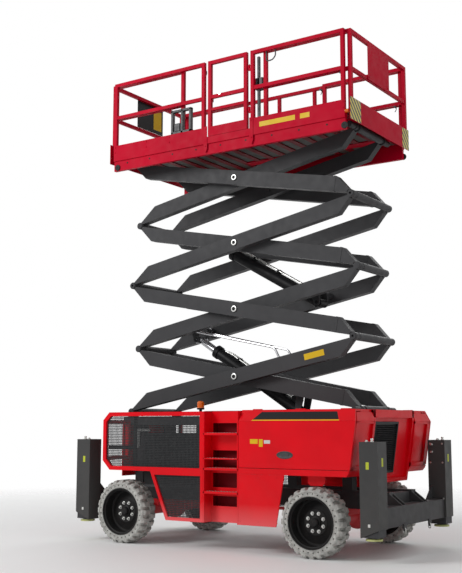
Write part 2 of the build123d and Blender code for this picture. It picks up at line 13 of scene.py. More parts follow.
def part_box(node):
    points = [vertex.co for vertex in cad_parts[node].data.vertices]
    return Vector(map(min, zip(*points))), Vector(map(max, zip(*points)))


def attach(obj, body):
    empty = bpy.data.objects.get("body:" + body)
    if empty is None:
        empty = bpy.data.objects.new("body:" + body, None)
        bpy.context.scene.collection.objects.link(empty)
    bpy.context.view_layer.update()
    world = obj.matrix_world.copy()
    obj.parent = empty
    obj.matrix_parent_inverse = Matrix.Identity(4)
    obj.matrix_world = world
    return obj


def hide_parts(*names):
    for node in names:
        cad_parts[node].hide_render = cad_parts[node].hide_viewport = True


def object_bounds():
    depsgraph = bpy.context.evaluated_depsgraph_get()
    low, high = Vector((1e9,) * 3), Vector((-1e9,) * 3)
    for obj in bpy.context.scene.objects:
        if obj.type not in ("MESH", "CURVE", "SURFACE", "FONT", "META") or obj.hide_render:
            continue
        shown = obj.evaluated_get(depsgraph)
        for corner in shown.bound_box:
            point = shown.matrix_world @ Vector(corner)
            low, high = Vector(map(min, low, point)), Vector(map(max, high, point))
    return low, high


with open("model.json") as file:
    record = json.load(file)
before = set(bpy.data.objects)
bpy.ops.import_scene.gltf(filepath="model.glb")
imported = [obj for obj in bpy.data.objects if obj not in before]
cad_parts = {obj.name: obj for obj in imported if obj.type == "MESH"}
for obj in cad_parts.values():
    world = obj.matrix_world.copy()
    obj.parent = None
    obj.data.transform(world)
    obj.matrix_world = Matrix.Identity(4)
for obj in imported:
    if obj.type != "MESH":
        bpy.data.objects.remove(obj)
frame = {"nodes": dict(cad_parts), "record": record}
cad_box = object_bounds()


def corners(node):
    """Lowest and highest corner of a node's box."""
    return [Vector(corner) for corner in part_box(node)]


flanks, ends = (("near", -1), ("far", 1)), (("front", 1), ("rear", -1))
cage_low, cage_high = corners("cage_frames")
skirt_low, skirt_high = corners("skirts")
ladder_low, ladder_high = corners("ladder")
beacon_low, beacon_high = corners("beacon")
leg_low, leg_high = corners("leg_casings")
rail_low, rail_high = corners("rails_near")
gate_low, gate_high = corners("gate")
deck_low, deck_high = corners("platform_deck")
station_low, station_high = corners("control_box")
panel_high = corners("front_panel")[1]
beam_high = corners("outrigger_beams")[1]


# ---- materials ----
def add(tree, kind, sockets=None, **props):
    """New shader node; a socket takes a value or another node's output."""
    made = tree.nodes.new(kind)
    for key, value in props.items():
        setattr(made, key, value)
    for key, value in (sockets or {}).items():
        if isinstance(value, bpy.types.NodeSocket):
            tree.links.new(value, made.inputs[key])
        else:
            made.inputs[key].default_value = value
    return made


def maths(tree, operation, *values):
    """Result of a maths node."""
    return add(tree, "ShaderNodeMath", dict(enumerate(values)), operation=operation).outputs[0]


def blank(name):
    """New material with its node tree and shader."""
    made = bpy.data.materials.new(name)
    made.use_nodes = True
    return made, made.node_tree, made.node_tree.nodes["Principled BSDF"]


def place(tree):
    """Coordinates fixed to the piece, in metres."""
    return add(tree, "ShaderNodeTexCoord").outputs["Object"]


def split(tree):
    """The three coordinates apart."""
    return add(tree, "ShaderNodeSeparateXYZ", {0: place(tree)}).outputs


def noise(tree, scale, detail=3.0, rough=0.5, stretch=None):
    """Fractal noise, stretched along an axis if asked."""
    where = place(tree)
    if stretch:
        where = add(tree, "ShaderNodeVectorMath", {0: where, 1: stretch}, operation="MULTIPLY").outputs[0]
    return add(tree, "ShaderNodeTexNoise",
               {"Vector": where, "Scale": scale, "Detail": detail, "Roughness": rough}).outputs["Fac"]


def spread(tree, value, low, high, from_low=0.0, from_high=1.0):
    """Value mapped to a new range, clamped."""
    return add(tree, "ShaderNodeMapRange", {"Value": value, "From Min": from_low, "From Max": from_high,
                                            "To Min": low, "To Max": high}).outputs[0]


def patchy(tree, low, high, scale, detail=3.0, rough=0.5, cut=(0.3, 0.7)):
    """Value that wanders between two limits over the surface."""
    return spread(tree, noise(tree, scale, detail, rough), low, high, *cut)


def blend_colour(tree, share, one, two):
    """Mix of two colours; each may be a colour or an output."""
    one, two = [(*shade, 1.0) if isinstance(shade, tuple) else shade for shade in (one, two)]
    return add(tree, "ShaderNodeMix", {0: share, 6: one, 7: two}, data_type="RGBA").outputs[2]


def finish(tree, shader, colour, rough, grain, strength, distance):
    """Colour, roughness and bump of a shader."""
    bump = add(tree, "ShaderNodeBump", {"Height": grain, "Strength": strength, "Distance": distance})
    tree.links.new(colour, shader.inputs["Base Color"])
    tree.links.new(rough, shader.inputs["Roughness"])
    tree.links.new(bump.outputs[0], shader.inputs["Normal"])


def edge_share(tree, radius):
    """1 on sharp edges, 0 on flats."""
    soft = add(tree, "ShaderNodeBevel", {"Radius": radius}, samples=4).outputs[0]
    true = add(tree, "ShaderNodeNewGeometry").outputs["Normal"]
    dot = add(tree, "ShaderNodeVectorMath", {0: soft, 1: true}, operation="DOT_PRODUCT").outputs["Value"]
    return spread(tree, dot, 1.0, 0.0, 0.75, 0.985)


road_dust = (0.30, 0.26, 0.22)
chip_radius, chip_share = 0.006, 0.35
dust_top, height_tint_share = 1.5, 0.62


def coated(name, colour, rough, coat=0.0, wear=(0.3, 0.3, 0.3), dust=0.0, height_tint=None, patches=(), shine=0.12):
    """Paint over steel: slight mottling, orange peel, worn edges, road dust low down, blank labels."""
    made, tree, shader = blank(name)
    mottle = patchy(tree, 0.0, 1.0, 1.7, 5.0, cut=(0.35, 0.65))
    paint = blend_colour(tree, mottle, colour, tuple(c * 0.86 for c in colour))
    # paler, pinker tint towards the bottom, blended in by height
    if height_tint:
        low, high, height_tint_colour = height_tint
        paint = blend_colour(tree, spread(tree, split(tree)[2], height_tint_share, 0.0, low, high), paint, height_tint_colour)
    worn = patchy(tree, 0, 1, 26, 6, cut=(0.45, 0.62))
    chips = maths(tree, "MULTIPLY", edge_share(tree, chip_radius), worn)
    paint = blend_colour(tree, spread(tree, chips, 0.0, chip_share), paint, wear)
    if dust:
        low_down = spread(tree, split(tree)[2], dust, 0.0, 0.2, dust_top)
        share = maths(tree, "MULTIPLY", low_down, patchy(tree, 0.1, 1.0, 7, 7, 0.65))
        paint = blend_colour(tree, share, paint, road_dust)
    for centre, half, shade in patches:
        axes = split(tree)
        share = 1.0
        for axis in range(3):
            near = maths(tree, "COMPARE", axes[axis], centre[axis], half[axis])
            share = maths(tree, "MULTIPLY", near, share)
        paint = blend_colour(tree, share, paint, shade)
    shader.inputs["Specular IOR Level"].default_value = shine
    shader.inputs["Coat Weight"].default_value = coat
    shader.inputs["Coat Roughness"].default_value = 0.12
    matt = patchy(tree, rough - 0.05, rough + 0.1, 9, 4)
    finish(tree, shader, paint, matt, noise(tree, 240, 2), 0.06, 0.002)
    return made


def metal(name, colour, rough, stretch):
    """Bare metal with fine drawn lines."""
    made, tree, shader = blank(name)
    lines = noise(tree, 60, 4, 0.6, stretch)
    tint = blend_colour(tree, spread(tree, lines, 0, 1, 0.3, 0.7), colour, tuple(c * 0.72 for c in colour))
    shader.inputs["Metallic"].default_value = 1.0
    finish(tree, shader, tint, spread(tree, lines, rough - 0.06, rough + 0.12, 0.3, 0.7), lines, 0.05, 0.001)
    return made


def rubber(name, colour, dark, scale=14.0):
    """Moulded rubber: blotches and fine grain."""
    made, tree, shader = blank(name)
    tint = blend_colour(tree, patchy(tree, 0.0, 1.0, scale, 6, 0.6, (0.34, 0.68)), dark, colour)
    shader.inputs["Specular IOR Level"].default_value = 0.3
    finish(tree, shader, tint, patchy(tree, 0.62, 0.9, 30, 4), noise(tree, 120, 5, 0.7), 0.35, 0.004)
    return made


def plastic(name, colour, rough=0.5):
    """Moulded plastic with a fine grain."""
    made, tree, shader = blank(name)
    shade = patchy(tree, 0, 1, 5, 4, cut=(0.35, 0.65))
    tint = blend_colour(tree, shade, colour, tuple(c * 0.8 for c in colour))
    matt = patchy(tree, rough - 0.06, rough + 0.1, 20, 3)
    finish(tree, shader, tint, matt, noise(tree, 300, 2), 0.12, 0.001)
    return made


def hazard(name, bar, yellow_light, yellow_worn, black_bar):
    """Slanted yellow and black bars, one bar's period wide."""
    made, tree, shader = blank(name)
    axes = split(tree)
    wave = maths(tree, "PINGPONG", maths(tree, "ADD", axes[1], axes[2]), bar)
    worn = blend_colour(tree, patchy(tree, 0, 0.35, 30, 5, cut=(0.5, 0.7)), yellow_light, yellow_worn)
    tint = blend_colour(tree, spread(tree, wave, 0.0, 1.0, bar / 2 - 0.001, bar / 2 + 0.001), black_bar, worn)
    finish(tree, shader, tint, patchy(tree, 0.35, 0.5, 9, 4), noise(tree, 200, 2), 0.05, 0.001)
    return made


red = coated("red_paint", (0.80, 0.0, 0.008), 0.34, coat=0.05, wear=(0.42, 0.06, 0.06), dust=0.05,
             height_tint=(0.36, 0.62, (0.85, 0.16, 0.17)))
# darker copy of the red for the platform's pieces: painted shade up on the platform
platform_shade_red = coated("platform_painted_shade", (0.55, 0.0, 0.022), 0.42, wear=(0.40, 0.05, 0.06), shine=0.05)
# darker red for recesses and undersides: painted shade
shade_dark_red = coated("painted_shade_recess", (0.20, 0.0, 0.006), 0.5)
grey = coated("grey_paint", (0.055, 0.055, 0.058), 0.46, wear=(0.16, 0.16, 0.16), dust=0.06)
black = coated("black_paint", (0.012, 0.012, 0.013), 0.42, wear=(0.09, 0.09, 0.09), dust=0.05)
mesh_metal = coated("mesh_metal", (0.035, 0.036, 0.038), 0.5, wear=(0.15, 0.15, 0.15))
floor_plate = coated("deck_plate", (0.10, 0.095, 0.085), 0.5, wear=(0.3, 0.3, 0.28))
yellow = coated("yellow_plate", (0.80, 0.52, 0.02), 0.35)
pale = coated("white_plate", (0.72, 0.72, 0.70), 0.35)
steel = metal("chromed_rod", (0.6, 0.6, 0.62), 0.2, (1, 1, 8))
zinc = metal("zinc", (0.62, 0.62, 0.6), 0.32, (1, 1, 1))
pale_rubber = rubber("pale_rubber", (0.56, 0.56, 0.53), (0.30, 0.295, 0.28))
dark_rubber = rubber("dark_rubber", (0.03, 0.03, 0.03), (0.012, 0.012, 0.012), 30)
dark_plastic = plastic("dark_plastic", (0.025, 0.025, 0.027))
amber = plastic("amber_lens", (0.85, 0.16, 0.0), 0.15)
hazard_bars = hazard("hazard_bars", 0.045, (0.72, 0.60, 0.10), (0.35, 0.30, 0.12), (0.03, 0.03, 0.03))

# blank labels painted on the legs' outer faces, which are the widest points of the machine
lime_shade, pale_shade = (0.50, 0.55, 0.05), (0.65, 0.65, 0.62)
labels = []  # centre, half size, shade
for sx in (-1, 1):
    for sy in (-1, 1):
        side_face, end_face = sy * leg_high.y, sx * leg_high.x
        labels.append(((sx * 2.225, side_face, 1.13), (0.020, 0.004, 0.042), lime_shade))
        labels.append(((end_face, sy * 1.03, 1.17), (0.004, 0.022, 0.050), lime_shade))
        labels.append(((sx * 2.235, side_face, 0.44), (0.015, 0.004, 0.018), pale_shade))
leg_paint = coated("leg_paint", (0.062, 0.062, 0.062), 0.46, wear=(0.16, 0.16, 0.16), dust=0.06,
                   patches=labels)
pad_edge = ((0, 0, 0.272), (3.0, 3.0, 0.016), (0.50, 0.52, 0.22))
pad_paint = coated("foot_paint", (0.055, 0.055, 0.058), 0.46, wear=(0.2, 0.2, 0.18), patches=[pad_edge])

slot_materials = {
    "red_paint": red, "grey_paint": grey, "black_paint": black, "mesh_metal": mesh_metal, "steel": steel,
    "tyre": pale_rubber, "amber": amber, "plastic": dark_plastic, "floor_metal": floor_plate,
}
platform_nodes = ("platform_deck", "rails_near", "rails_far", "gate", "extension_front", "extension_rear")
# the platform's pieces take the darker red, which is painted shade
node_materials = {node: platform_shade_red for node in platform_nodes}
node_materials["leg_casings"] = leg_paint
for end, _ in ends:
    for tag, _ in flanks:
        node_materials[f"foot_{end}_{tag}"] = pad_paint
for part in frame["record"]["subparts"]:
    data = frame["nodes"][part["node"]].data
    data.materials.clear()
    data.materials.append(node_materials.get(part["node"]) or slot_materials[part["material_slot"]])


# ---- modelling ----
bevel_angle, smooth_angle = 0.5, 0.6
corner_steps = 6


def steps(first, last, count):
    """Evenly spaced places, both ends among them."""
    return [first + (last - first) * i / (count - 1) for i in range(count)]


def around(count, radius=1.0, start=0.0):
    """Points of a circle at equal steps."""
    angles = [2 * pi * (i + start) / count for i in range(count)]
    return [(radius * cos(angle), radius * sin(angle)) for angle in angles]


class Form:
    """Collects solids in one mesh, which then becomes a piece."""

    def __init__(self, matrix=None):
        self.mesh = bmesh.new()
        self.matrix = matrix or Matrix()

    def hull(self, rings, soft=0.0, closed=True):
        """Skin over rings of the same number of points, capped at both ends."""
        rows = [[self.mesh.verts.new(self.matrix @ Vector(p)) for p in ring] for ring in rings]
        made = []
        for low, high in zip(rows, rows[1:]):
            for i in range(len(low)):
                j = (i + 1) % len(low)
                made.append(self.mesh.faces.new((low[i], low[j], high[j], high[i])))
        if closed:
            made.append(self.mesh.faces.new(rows[0][::-1]))
            made.append(self.mesh.faces.new(rows[-1]))
        bmesh.ops.recalc_face_normals(self.mesh, faces=made)
        if soft:
            skin = {edge for face in made for edge in face.edges}
            sharp = [e for e in skin if len(e.link_faces) == 2 and e.calc_face_angle() > bevel_angle]
            bmesh.ops.bevel(self.mesh, geom=sharp, offset=soft, segments=2, affect="EDGES",
                            clamp_overlap=True)

    def block(self, one, two, soft=0.0):
        """Box between two opposite corners."""
        (x0, x1), (y0, y1), (z0, z1) = [sorted(pair) for pair in zip(one, two)]
        ring = [(x0, y0), (x1, y0), (x1, y1), (x0, y1)]
        self.hull([[(x, y, z0) for x, y in ring], [(x, y, z1) for x, y in ring]], soft)

    def slab(self, outline, push, soft=0.0):
        """Outline of points pushed along a vector."""
        self.hull([[Vector(p) for p in outline], [Vector(p) + Vector(push) for p in outline]], soft)

    def lathe(self, profile, origin, axis, sides=32, capped=True):
        """(radius, height) points spun about an axis."""
        axis = Vector(axis).normalized()
        side = axis.orthogonal().normalized()
        other = axis.cross(side)
        rings = []
        for radius, rise in profile:
            middle = Vector(origin) + axis * rise
            rings.append([middle + side * a + other * b for a, b in around(sides, radius)])
        self.hull(rings, closed=capped)

    def pipe(self, points, radius, sides=10):
        """Round tube along points, its corners rounded."""
        route = rounded([Vector(p) for p in points], radius * 4)
        rings = []
        side = None
        for i, point in enumerate(route):
            along = (route[min(i + 1, len(route) - 1)] - route[max(i - 1, 0)]).normalized()
            side = (side - along * side.dot(along)).normalized() if side else along.orthogonal().normalized()
            other = along.cross(side)
            rings.append([point + side * a + other * b for a, b in around(sides, radius)])
        self.hull(rings)

    def bolt(self, where, axis, radius, rise, washer=True):
        """Hexagon head, on a washer unless told otherwise."""
        base = rise * 0.22 if washer else 0.0
        if washer:
            self.lathe([(radius * 1.45, 0), (radius * 1.45, base)], where, axis, 20)
        self.lathe([(radius, base), (radius, rise * 0.8), (radius * 0.86, rise)], where, axis, 6)

    def piece(self, name, body, material, slot, replaces=()):
        """Turn the mesh into a piece that rides on a body."""
        for face in self.mesh.faces:
            face.smooth = True
        for edge in self.mesh.edges:
            edge.smooth = len(edge.link_faces) == 2 and edge.calc_face_angle(0.0) < smooth_angle
        data = bpy.data.meshes.new(name)
        self.mesh.to_mesh(data)
        self.mesh.free()
        data.materials.append(material)
        made = bpy.data.objects.new(name, data)
        bpy.context.scene.collection.objects.link(made)
        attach(made, body)
        if replaces:
            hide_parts(*replaces)


def rounded(points, reach):
    """Route with its corners turned into short arcs."""
    route = [points[0]]
    for before, corner, after in zip(points, points[1:], points[2:]):
        start, end = before - corner, after - corner
        cut = min(reach, start.length * 0.45, end.length * 0.45)
        one, two = corner + start.normalized() * cut, corner + end.normalized() * cut
        for i in range(corner_steps + 1):
            t = i / corner_steps
            route.append(one * (1 - t) ** 2 + corner * 2 * t * (1 - t) + two * t**2)
    route.append(points[-1])
    return route


hole_sides = 8


def pierced(mesh, where, u0, u1, v0, v1, hole):
    """One cell of perforated sheet; where maps (u, v) to a point."""
    u, v = (u0 + u1) / 2, (v0 + v1) / 2
    border = [(u1, v), (u1, v1), (u, v1), (u0, v1), (u0, v), (u0, v0), (u, v0), (u1, v0)]
    outer = [mesh.verts.new(where(*point)) for point in border]
    inner = [mesh.verts.new(where(u + hole[0] * a, v + hole[1] * b)) for a, b in around(hole_sides)]
    for i in range(hole_sides):
        j = (i + 1) % hole_sides
        mesh.faces.new((outer[i], outer[j], inner[j], inner[i]))
    return inner


# ---- wheels ----
lugs, side_holes = 24, 32
lug_rise, bore = 0.030, 0.3165
groove_in, groove_out = 0.336, 0.366
side_hole, side_hole_deep = 0.0105, 0.030
nut_circle, cap_circle = 0.114, 0.045
dish_section = [(0.316, 0.140), (0.303, 0.140), (0.296, 0.120), (0.284, 0.112), (0.280, -0.020),
                (0.262, -0.036), (0.172, -0.014), (0.156, 0.0), (0.044, 0.0), (0.044, -0.030),
                (0.150, -0.030), (0.262, -0.062), (0.290, -0.100), (0.300, -0.140), (0.316, -0.140),
                (0.316, 0.140)]
cap_section = [(0.074, 0), (0.074, 0.016), (0.060, 0.022), (0.056, 0.05), (0.044, 0.062), (0.012, 0.066)]


def tread(tag, centre, radius, half):
    """Solid tyre with rounded lugs and a ring of holes in each sidewall."""
    form = Form(Matrix.Translation(centre))
    core, groove, step = radius - lug_rise, (groove_in + groove_out) / 2, 2 * pi / side_holes

    def polar(angle, r, y):
        return form.matrix @ Vector((r * cos(angle), y, r * sin(angle)))

    hoop = [(bore, 0.0), (bore, half - 0.014), (groove_in - 0.006, half - 0.008), (groove_in, half - 0.012)]
    shoulder = [(groove_out, half - 0.012), (groove_out + 0.006, half - 0.003), (core - 0.012, half - 0.004),
                (core, half - 0.02), (core, 0.0)]
    for side in (-1, 1):
        for profile in (hoop, shoulder):
            form.lathe([(r, side * y) for r, y in profile], (0, 0, 0), (0, 1, 0), 96, capped=False)
        wall = side * (half - 0.012)
        for i in range(side_holes):
            mouth = pierced(form.mesh, lambda angle, r: polar(angle, r, wall), i * step, (i + 1) * step,
                            groove_in, groove_out, (side_hole / groove, side_hole))
            floor = []
            for a, b in around(hole_sides, 0.7 * side_hole):
                point = polar((i + 0.5) * step + a / groove, groove + b, wall - side * side_hole_deep)
                floor.append(form.mesh.verts.new(point))
            for k in range(hole_sides):
                after = (k + 1) % hole_sides
                form.mesh.faces.new((mouth[k], mouth[after], floor[after], floor[k]))
            form.mesh.faces.new(floor)
    pitch = 2 * pi / lugs
    section = [(-0.004, core - 0.012), (-0.004, radius), (half - 0.036, radius),
               (half - 0.006, radius - 0.028), (half - 0.001, core - 0.026), (half - 0.02, core - 0.026)]
    for side in (-1, 1):
        for i in range(lugs):
            middle = (i + (0.5 if side > 0 else 0.0)) * pitch + pi / 2
            rings = []
            for sign in (-1, 1):
                ring = []
                for y, r in section:
                    share = 0.36 - 0.09 * max(0.0, min(1.0, (r - core) / lug_rise))
                    angle = middle + sign * share * pitch
                    ring.append((r * cos(angle), side * y, r * sin(angle)))
                rings.append(ring)
            form.hull(rings, soft=0.004)
    form.piece(f"tread_{tag}", f"wheel_{tag}", pale_rubber, "tyre", [f"tyre_{tag}"])


def disc(tag, centre, outward):
    """Dished wheel with its nuts and hub cap."""
    dish, nuts, cap = [Form(Matrix.Translation(centre)) for _ in range(3)]
    out = (0, outward, 0)
    dish.lathe(dish_section, (0, 0, 0), out, 96, capped=False)
    dish.piece(f"dish_{tag}", f"wheel_{tag}", black, "black_paint", [f"rim_{tag}"])
    for x, z in around(8, nut_circle, 0.5):
        nuts.bolt((x, 0, z), out, 0.016, 0.026)
    nuts.piece(f"nuts_{tag}", f"wheel_{tag}", zinc, "steel")
    cap.lathe(cap_section, (0, 0, 0), out, 40)
    for x, z in around(6, cap_circle):
        cap.bolt((x, outward * 0.058, z), out, 0.006, 0.006, False)
    cap.piece(f"hub_{tag}", f"wheel_{tag}", black, "black_paint")


for end, _ in ends:
    for side, outward in flanks:
        tag = f"{end}_{side}"
        low, high = corners(f"tyre_{tag}")
        centre = (low + high) / 2
        tread(tag, centre, centre.z - low.z, (high.y - low.y) / 2)
        disc(tag, centre, outward)


# ---- pods and their covers ----
side_y, inner_y = cage_high.y, panel_high.y
side_low, sill_z, shoulder_z, pod_top = skirt_high.z, 1.064, 1.657, panel_high.z
nose_x, nose_z, lean, nose_cut = 2.0812, 1.654, 0.152, 0.045
low_x, top_x = nose_x - (nose_z - sill_z) * lean, nose_x - nose_cut
shoulder_y, wall_y = side_y - 0.090, side_y - 0.034
hinge_y, hinge_z, leaf = 0.925, pod_top + 0.007, 0.045
hinge_xs = (0.560, 1.200, 1.840)
pod_x0 = ladder_high.x


def nose_at(z, back=0.0):
    """X of the leaning front at a height, set back."""
    if z > nose_z:
        return nose_x - (z - nose_z) * nose_cut / (pod_top - nose_z) - back
    return nose_x - (nose_z - z) * lean - back


def pod_front(form, side, points, back, thick):
    """Slab on the leaning front, from (y, z) points."""
    form.hull([[(nose_at(z, d), side * y, z) for y, z in points] for d in (back, back + thick)], 0.003)


def hinge_leaf(form, side, x0, x1, y0, y1):
    """Leaf on the pod's top and its length of the knuckle."""
    form.block((x0, side * y0, pod_top), (x1, side * y1, pod_top + 0.004))
    form.lathe([(0.006, x0), (0.006, x1)], (0, side * hinge_y, hinge_z), (1, 0, 0), 16)


front_strips = [  # y from, y to, z from, z to, set back: sheet, sill, outer post, inner post, top bar
    (inner_y, wall_y, sill_z, nose_z, 0.028), (inner_y, wall_y, sill_z, sill_z + 0.05, 0.0),
    (wall_y - 0.08, wall_y, sill_z, nose_z, 0.0), (inner_y, inner_y + 0.04, sill_z, nose_z, 0.0),
    (inner_y, wall_y, nose_z - 0.03, nose_z, 0.0),
]
sill = [(pod_x0, side_low), (low_x - 0.05, side_low), (low_x - 0.02, side_low + 0.035), (low_x, sill_z),
        (pod_x0, sill_z)]
rear_wall = [(wall_y, sill_z), (wall_y, shoulder_z - 0.02), (shoulder_y - 0.02, pod_top - 0.04),
             (inner_y, pod_top - 0.04), (inner_y, sill_z)]
nose_top = [(wall_y, nose_z), (shoulder_y - 0.015, pod_top - 0.036), (inner_y, pod_top - 0.036),
            (inner_y, nose_z)]
pods = Form()
for side in (-1, 1):
    pods.slab([(x, side * side_y, z) for x, z in sill], (0, side * (inner_y - side_y), 0), 0.004)
    for y0, y1, z0, z1, back in front_strips:
        pod_front(pods, side, [(y1, z0), (y1, z1), (y0, z1), (y0, z0)], back, 0.04)
    pod_front(pods, side, nose_top, 0.0, 0.06)
    pods.slab([(pod_x0, side * y, z) for y, z in rear_wall], (0.02, 0, 0))
    pods.block((pod_x0, side * inner_y, sill_z), (low_x - 0.06, side * (inner_y + 0.02), pod_top - 0.04))
    pods.block((pod_x0, side * inner_y, pod_top - 0.04), (top_x - 0.004, side * (hinge_y - 0.005), pod_top),
               0.003)
    for x in hinge_xs:
        for x0, x1 in ((x - 0.070, x - 0.041), (x + 0.041, x + 0.070)):
            hinge_leaf(pods, side, x0, x1, hinge_y - leaf, hinge_y)
pods.piece("pod_shells", "chassis", red, "red_paint", ["pods"])

x0, foot = pod_x0 + 0.005, sill_z + 0.005
cover_side = [(x0, foot), (nose_at(foot), foot), (nose_at(nose_z), nose_z), (nose_at(shoulder_z), shoulder_z),
              (x0, shoulder_z)]
cover_slope = [(x0, side_y, shoulder_z), (nose_at(shoulder_z), side_y, shoulder_z),
               (top_x, shoulder_y, pod_top), (x0, shoulder_y, pod_top)]
for tag, side in flanks:
    cover = Form()
    cover.slab([(x, side * side_y, z) for x, z in cover_side], (0, -side * 0.022, 0), 0.003)
    cover.hull([[(x, side * (y - in_y), z - down) for x, y, z in cover_slope]
                for in_y, down in ((0, 0), (0.020, 0.014))], 0.002)
    cover.block((x0, side * (hinge_y + 0.005), pod_top - 0.024), (top_x, side * shoulder_y, pod_top), 0.002)
    for x in hinge_xs:
        hinge_leaf(cover, side, x - 0.04, x + 0.04, hinge_y, hinge_y + leaf)
    cover.piece(f"cover_skin_{tag}", f"cover_{tag}", red, "red_paint", [f"cover_{tag}"])

# a cover's band and labels, all blank, and its latch
slope_run, skin = side_y - shoulder_y, 0.0009
band_outline = ((0.62, 0.14), (1.85, 0.14), (1.80, 0.80), (0.72, 0.80))  # x, share of the slope
line_outline = ((0.60, 0.03), (1.86, 0.03), (1.855, 0.11), (0.615, 0.11))
latch_x, latch_z = 1.095, 1.237
for tag, side in flanks:
    face = side * side_y
    up_slope = Vector((0, -side * slope_run, pod_top - shoulder_z))
    normal = Vector((0, side * (pod_top - shoulder_z), slope_run)).normalized()

    def on_slope(form, outline):
        """Thin plate on the leaning shoulder, which runs from 0 at its foot to 1 at its top."""
        points = [Vector((x, face, shoulder_z)) + up_slope * share + normal * 0.0002 for x, share in outline]
        form.slab(points, normal * 0.0008)

    band, line, small, pull = Form(), Form(), Form(), Form()
    on_slope(band, band_outline)
    band.piece(f"cover_band_{tag}", f"cover_{tag}", black, "black_paint")
    on_slope(line, line_outline)
    for x0, x1, z0, z1 in ((0.584, 0.70, 1.372, 1.43), (0.718, 0.775, 1.335, 1.43)):
        line.block((x0, face, z0), (x1, face + side * skin, z1), 0.0003)
    line.piece(f"cover_labels_{tag}", f"cover_{tag}", yellow, "red_paint")
    small.block((0.792, face, 1.375), (0.884, face + side * skin, 1.418), 0.0003)
    small.piece(f"cover_label_pale_{tag}", f"cover_{tag}", pale, "red_paint")
    pull.matrix = Matrix.Translation((latch_x, face, latch_z)) @ Matrix.Diagonal((1.0, 1.0, 0.40, 1.0))
    pull.lathe([(0.118, 0.0), (0.118, 0.0035), (0.108, 0.0045), (0.098, 0.0008)], (0, 0, 0), (0, side, 0), 48)
    pull.matrix = Matrix()
    pull.block((latch_x - 0.06, face, latch_z - 0.015),
               (latch_x + 0.06, face + side * 0.0048, latch_z + 0.015), 0.002)
    pull.piece(f"cover_latch_{tag}", f"cover_{tag}", dark_plastic, "plastic")


# ---- front end, skirts and ladder ----
front_low, band_z, bar = 0.880, 1.700, 0.050
front_y = inner_y - 0.002


def face_at(z, back):
    """X of the front frame at a height, set back."""
    return nose_x - 0.017 - max(0.0, nose_z - z) * lean - back


def lean_slab(form, y0, y1, z0, z1, back, thick):
    """Slab that leans with the front."""
    section = [(back, y0), (back, y1), (back + thick, y1), (back + thick, y0)]
    form.hull([[(face_at(z, d), y, z) for d, y in section] for z in (z0, z1)], 0.003)


front = Form()
for side in (-1, 1):
    y0, y1 = sorted((side * front_y, side * (front_y - bar)))
    lean_slab(front, y0, y1, front_low, nose_z, 0.0, bar)
    front.block((face_at(nose_z, bar), y0, nose_z), (face_at(nose_z, 0), y1, pod_top))
front.block((face_at(nose_z, 0.058), -front_y, band_z), (face_at(nose_z, 0), front_y, pod_top), 0.003)
lean_slab(front, -front_y, front_y, front_low, front_low + bar, 0.0, bar)
lean_slab(front, -front_y + 0.01, front_y - 0.01, front_low + 0.04, nose_z, 0.044, 0.014)
front.block((face_at(nose_z, 0.058), -front_y, nose_z), (face_at(nose_z, 0.044), front_y, band_z))
front.piece("front_frame", "chassis", red, "red_paint", ["front_panel"])

# grille: border, back sheet and slats
slat_count, rim = 24, 0.03
g0, g1, h0, h1 = -0.556, 0.150, 1.000, 1.650
slat_section = ((0.034, 0.016), (0.030, 0.019), (0.010, 0.004), (0.014, 0.0))  # set back, rise
slats = Form()
for y0, y1 in ((g0, g0 + rim), (g1 - rim, g1)):
    lean_slab(slats, y0, y1, h0, h1, 0.008, 0.034)
for z0 in (h0, h1 - rim):
    lean_slab(slats, g0, g1, z0, z0 + rim, 0.008, 0.034)
lean_slab(slats, g0, g1, h0, h1, 0.036, 0.006)
for i in range(slat_count):
    z = h0 + 0.04 + i * (h1 - h0 - 0.08) / slat_count
    slats.hull([[(face_at(z, back), y, z + rise) for back, rise in slat_section]
                for y in (g0 + rim, g1 - rim)])
slats.piece("front_grille", "chassis", black, "black_paint")


def inset(outline, width):
    """Convex outline of (x, z) points moved in by a width."""
    middle = sum((Vector(p) for p in outline), Vector((0, 0))) / len(outline)
    lines = []
    for a, b in zip(outline, outline[1:] + outline[:1]):
        along = (Vector(b) - Vector(a)).normalized()
        inward = Vector((-along.y, along.x))
        if inward.dot(middle - Vector(a)) < 0:
            inward = -inward
        lines.append((Vector(a) + inward * width, along))
    made = []
    for (p, d), (q, e) in zip(lines[-1:] + lines[:-1], lines):
        gap = q - p
        made.append(p + d * ((gap.x * e.y - gap.y * e.x) / (d.x * e.y - d.y * e.x)))
    return made


def frame_ring(form, outline, y0, y1, width):
    """Closed frame of one width along a convex outline of (x, z) points."""
    inner = inset(outline, width)
    for i in range(len(outline)):
        j = (i + 1) % len(outline)
        edge = [outline[i], outline[j], inner[j], inner[i]]
        form.slab([(x, y0, z) for x, z in edge], (0, y1 - y0, 0))


# skirts: framed guards at the back, plain sheets at the front
cage_bar, skirt_bar = 0.055, 0.045
rear_foot, skirt_foot = skirt_low.x + 0.273, skirt_low.z
rear_skirt = [(skirt_low.x, side_low), (rear_foot, skirt_foot), (ladder_low.x, skirt_foot),
              (ladder_low.x, side_low)]
front_skirt = [(pod_x0, side_low), (pod_x0, skirt_foot), (0.962, skirt_foot), (skirt_high.x, side_low)]
skirt = Form()
for side in (-1, 1):
    frame_ring(skirt, rear_skirt, side * side_y, side * (side_y - skirt_bar), skirt_bar)
    skirt.slab([(x, side * side_y, z) for x, z in front_skirt], (0, -side * 0.016, 0), 0.003)
skirt.piece("skirt_frames", "chassis", red, "red_paint", ["skirts"])
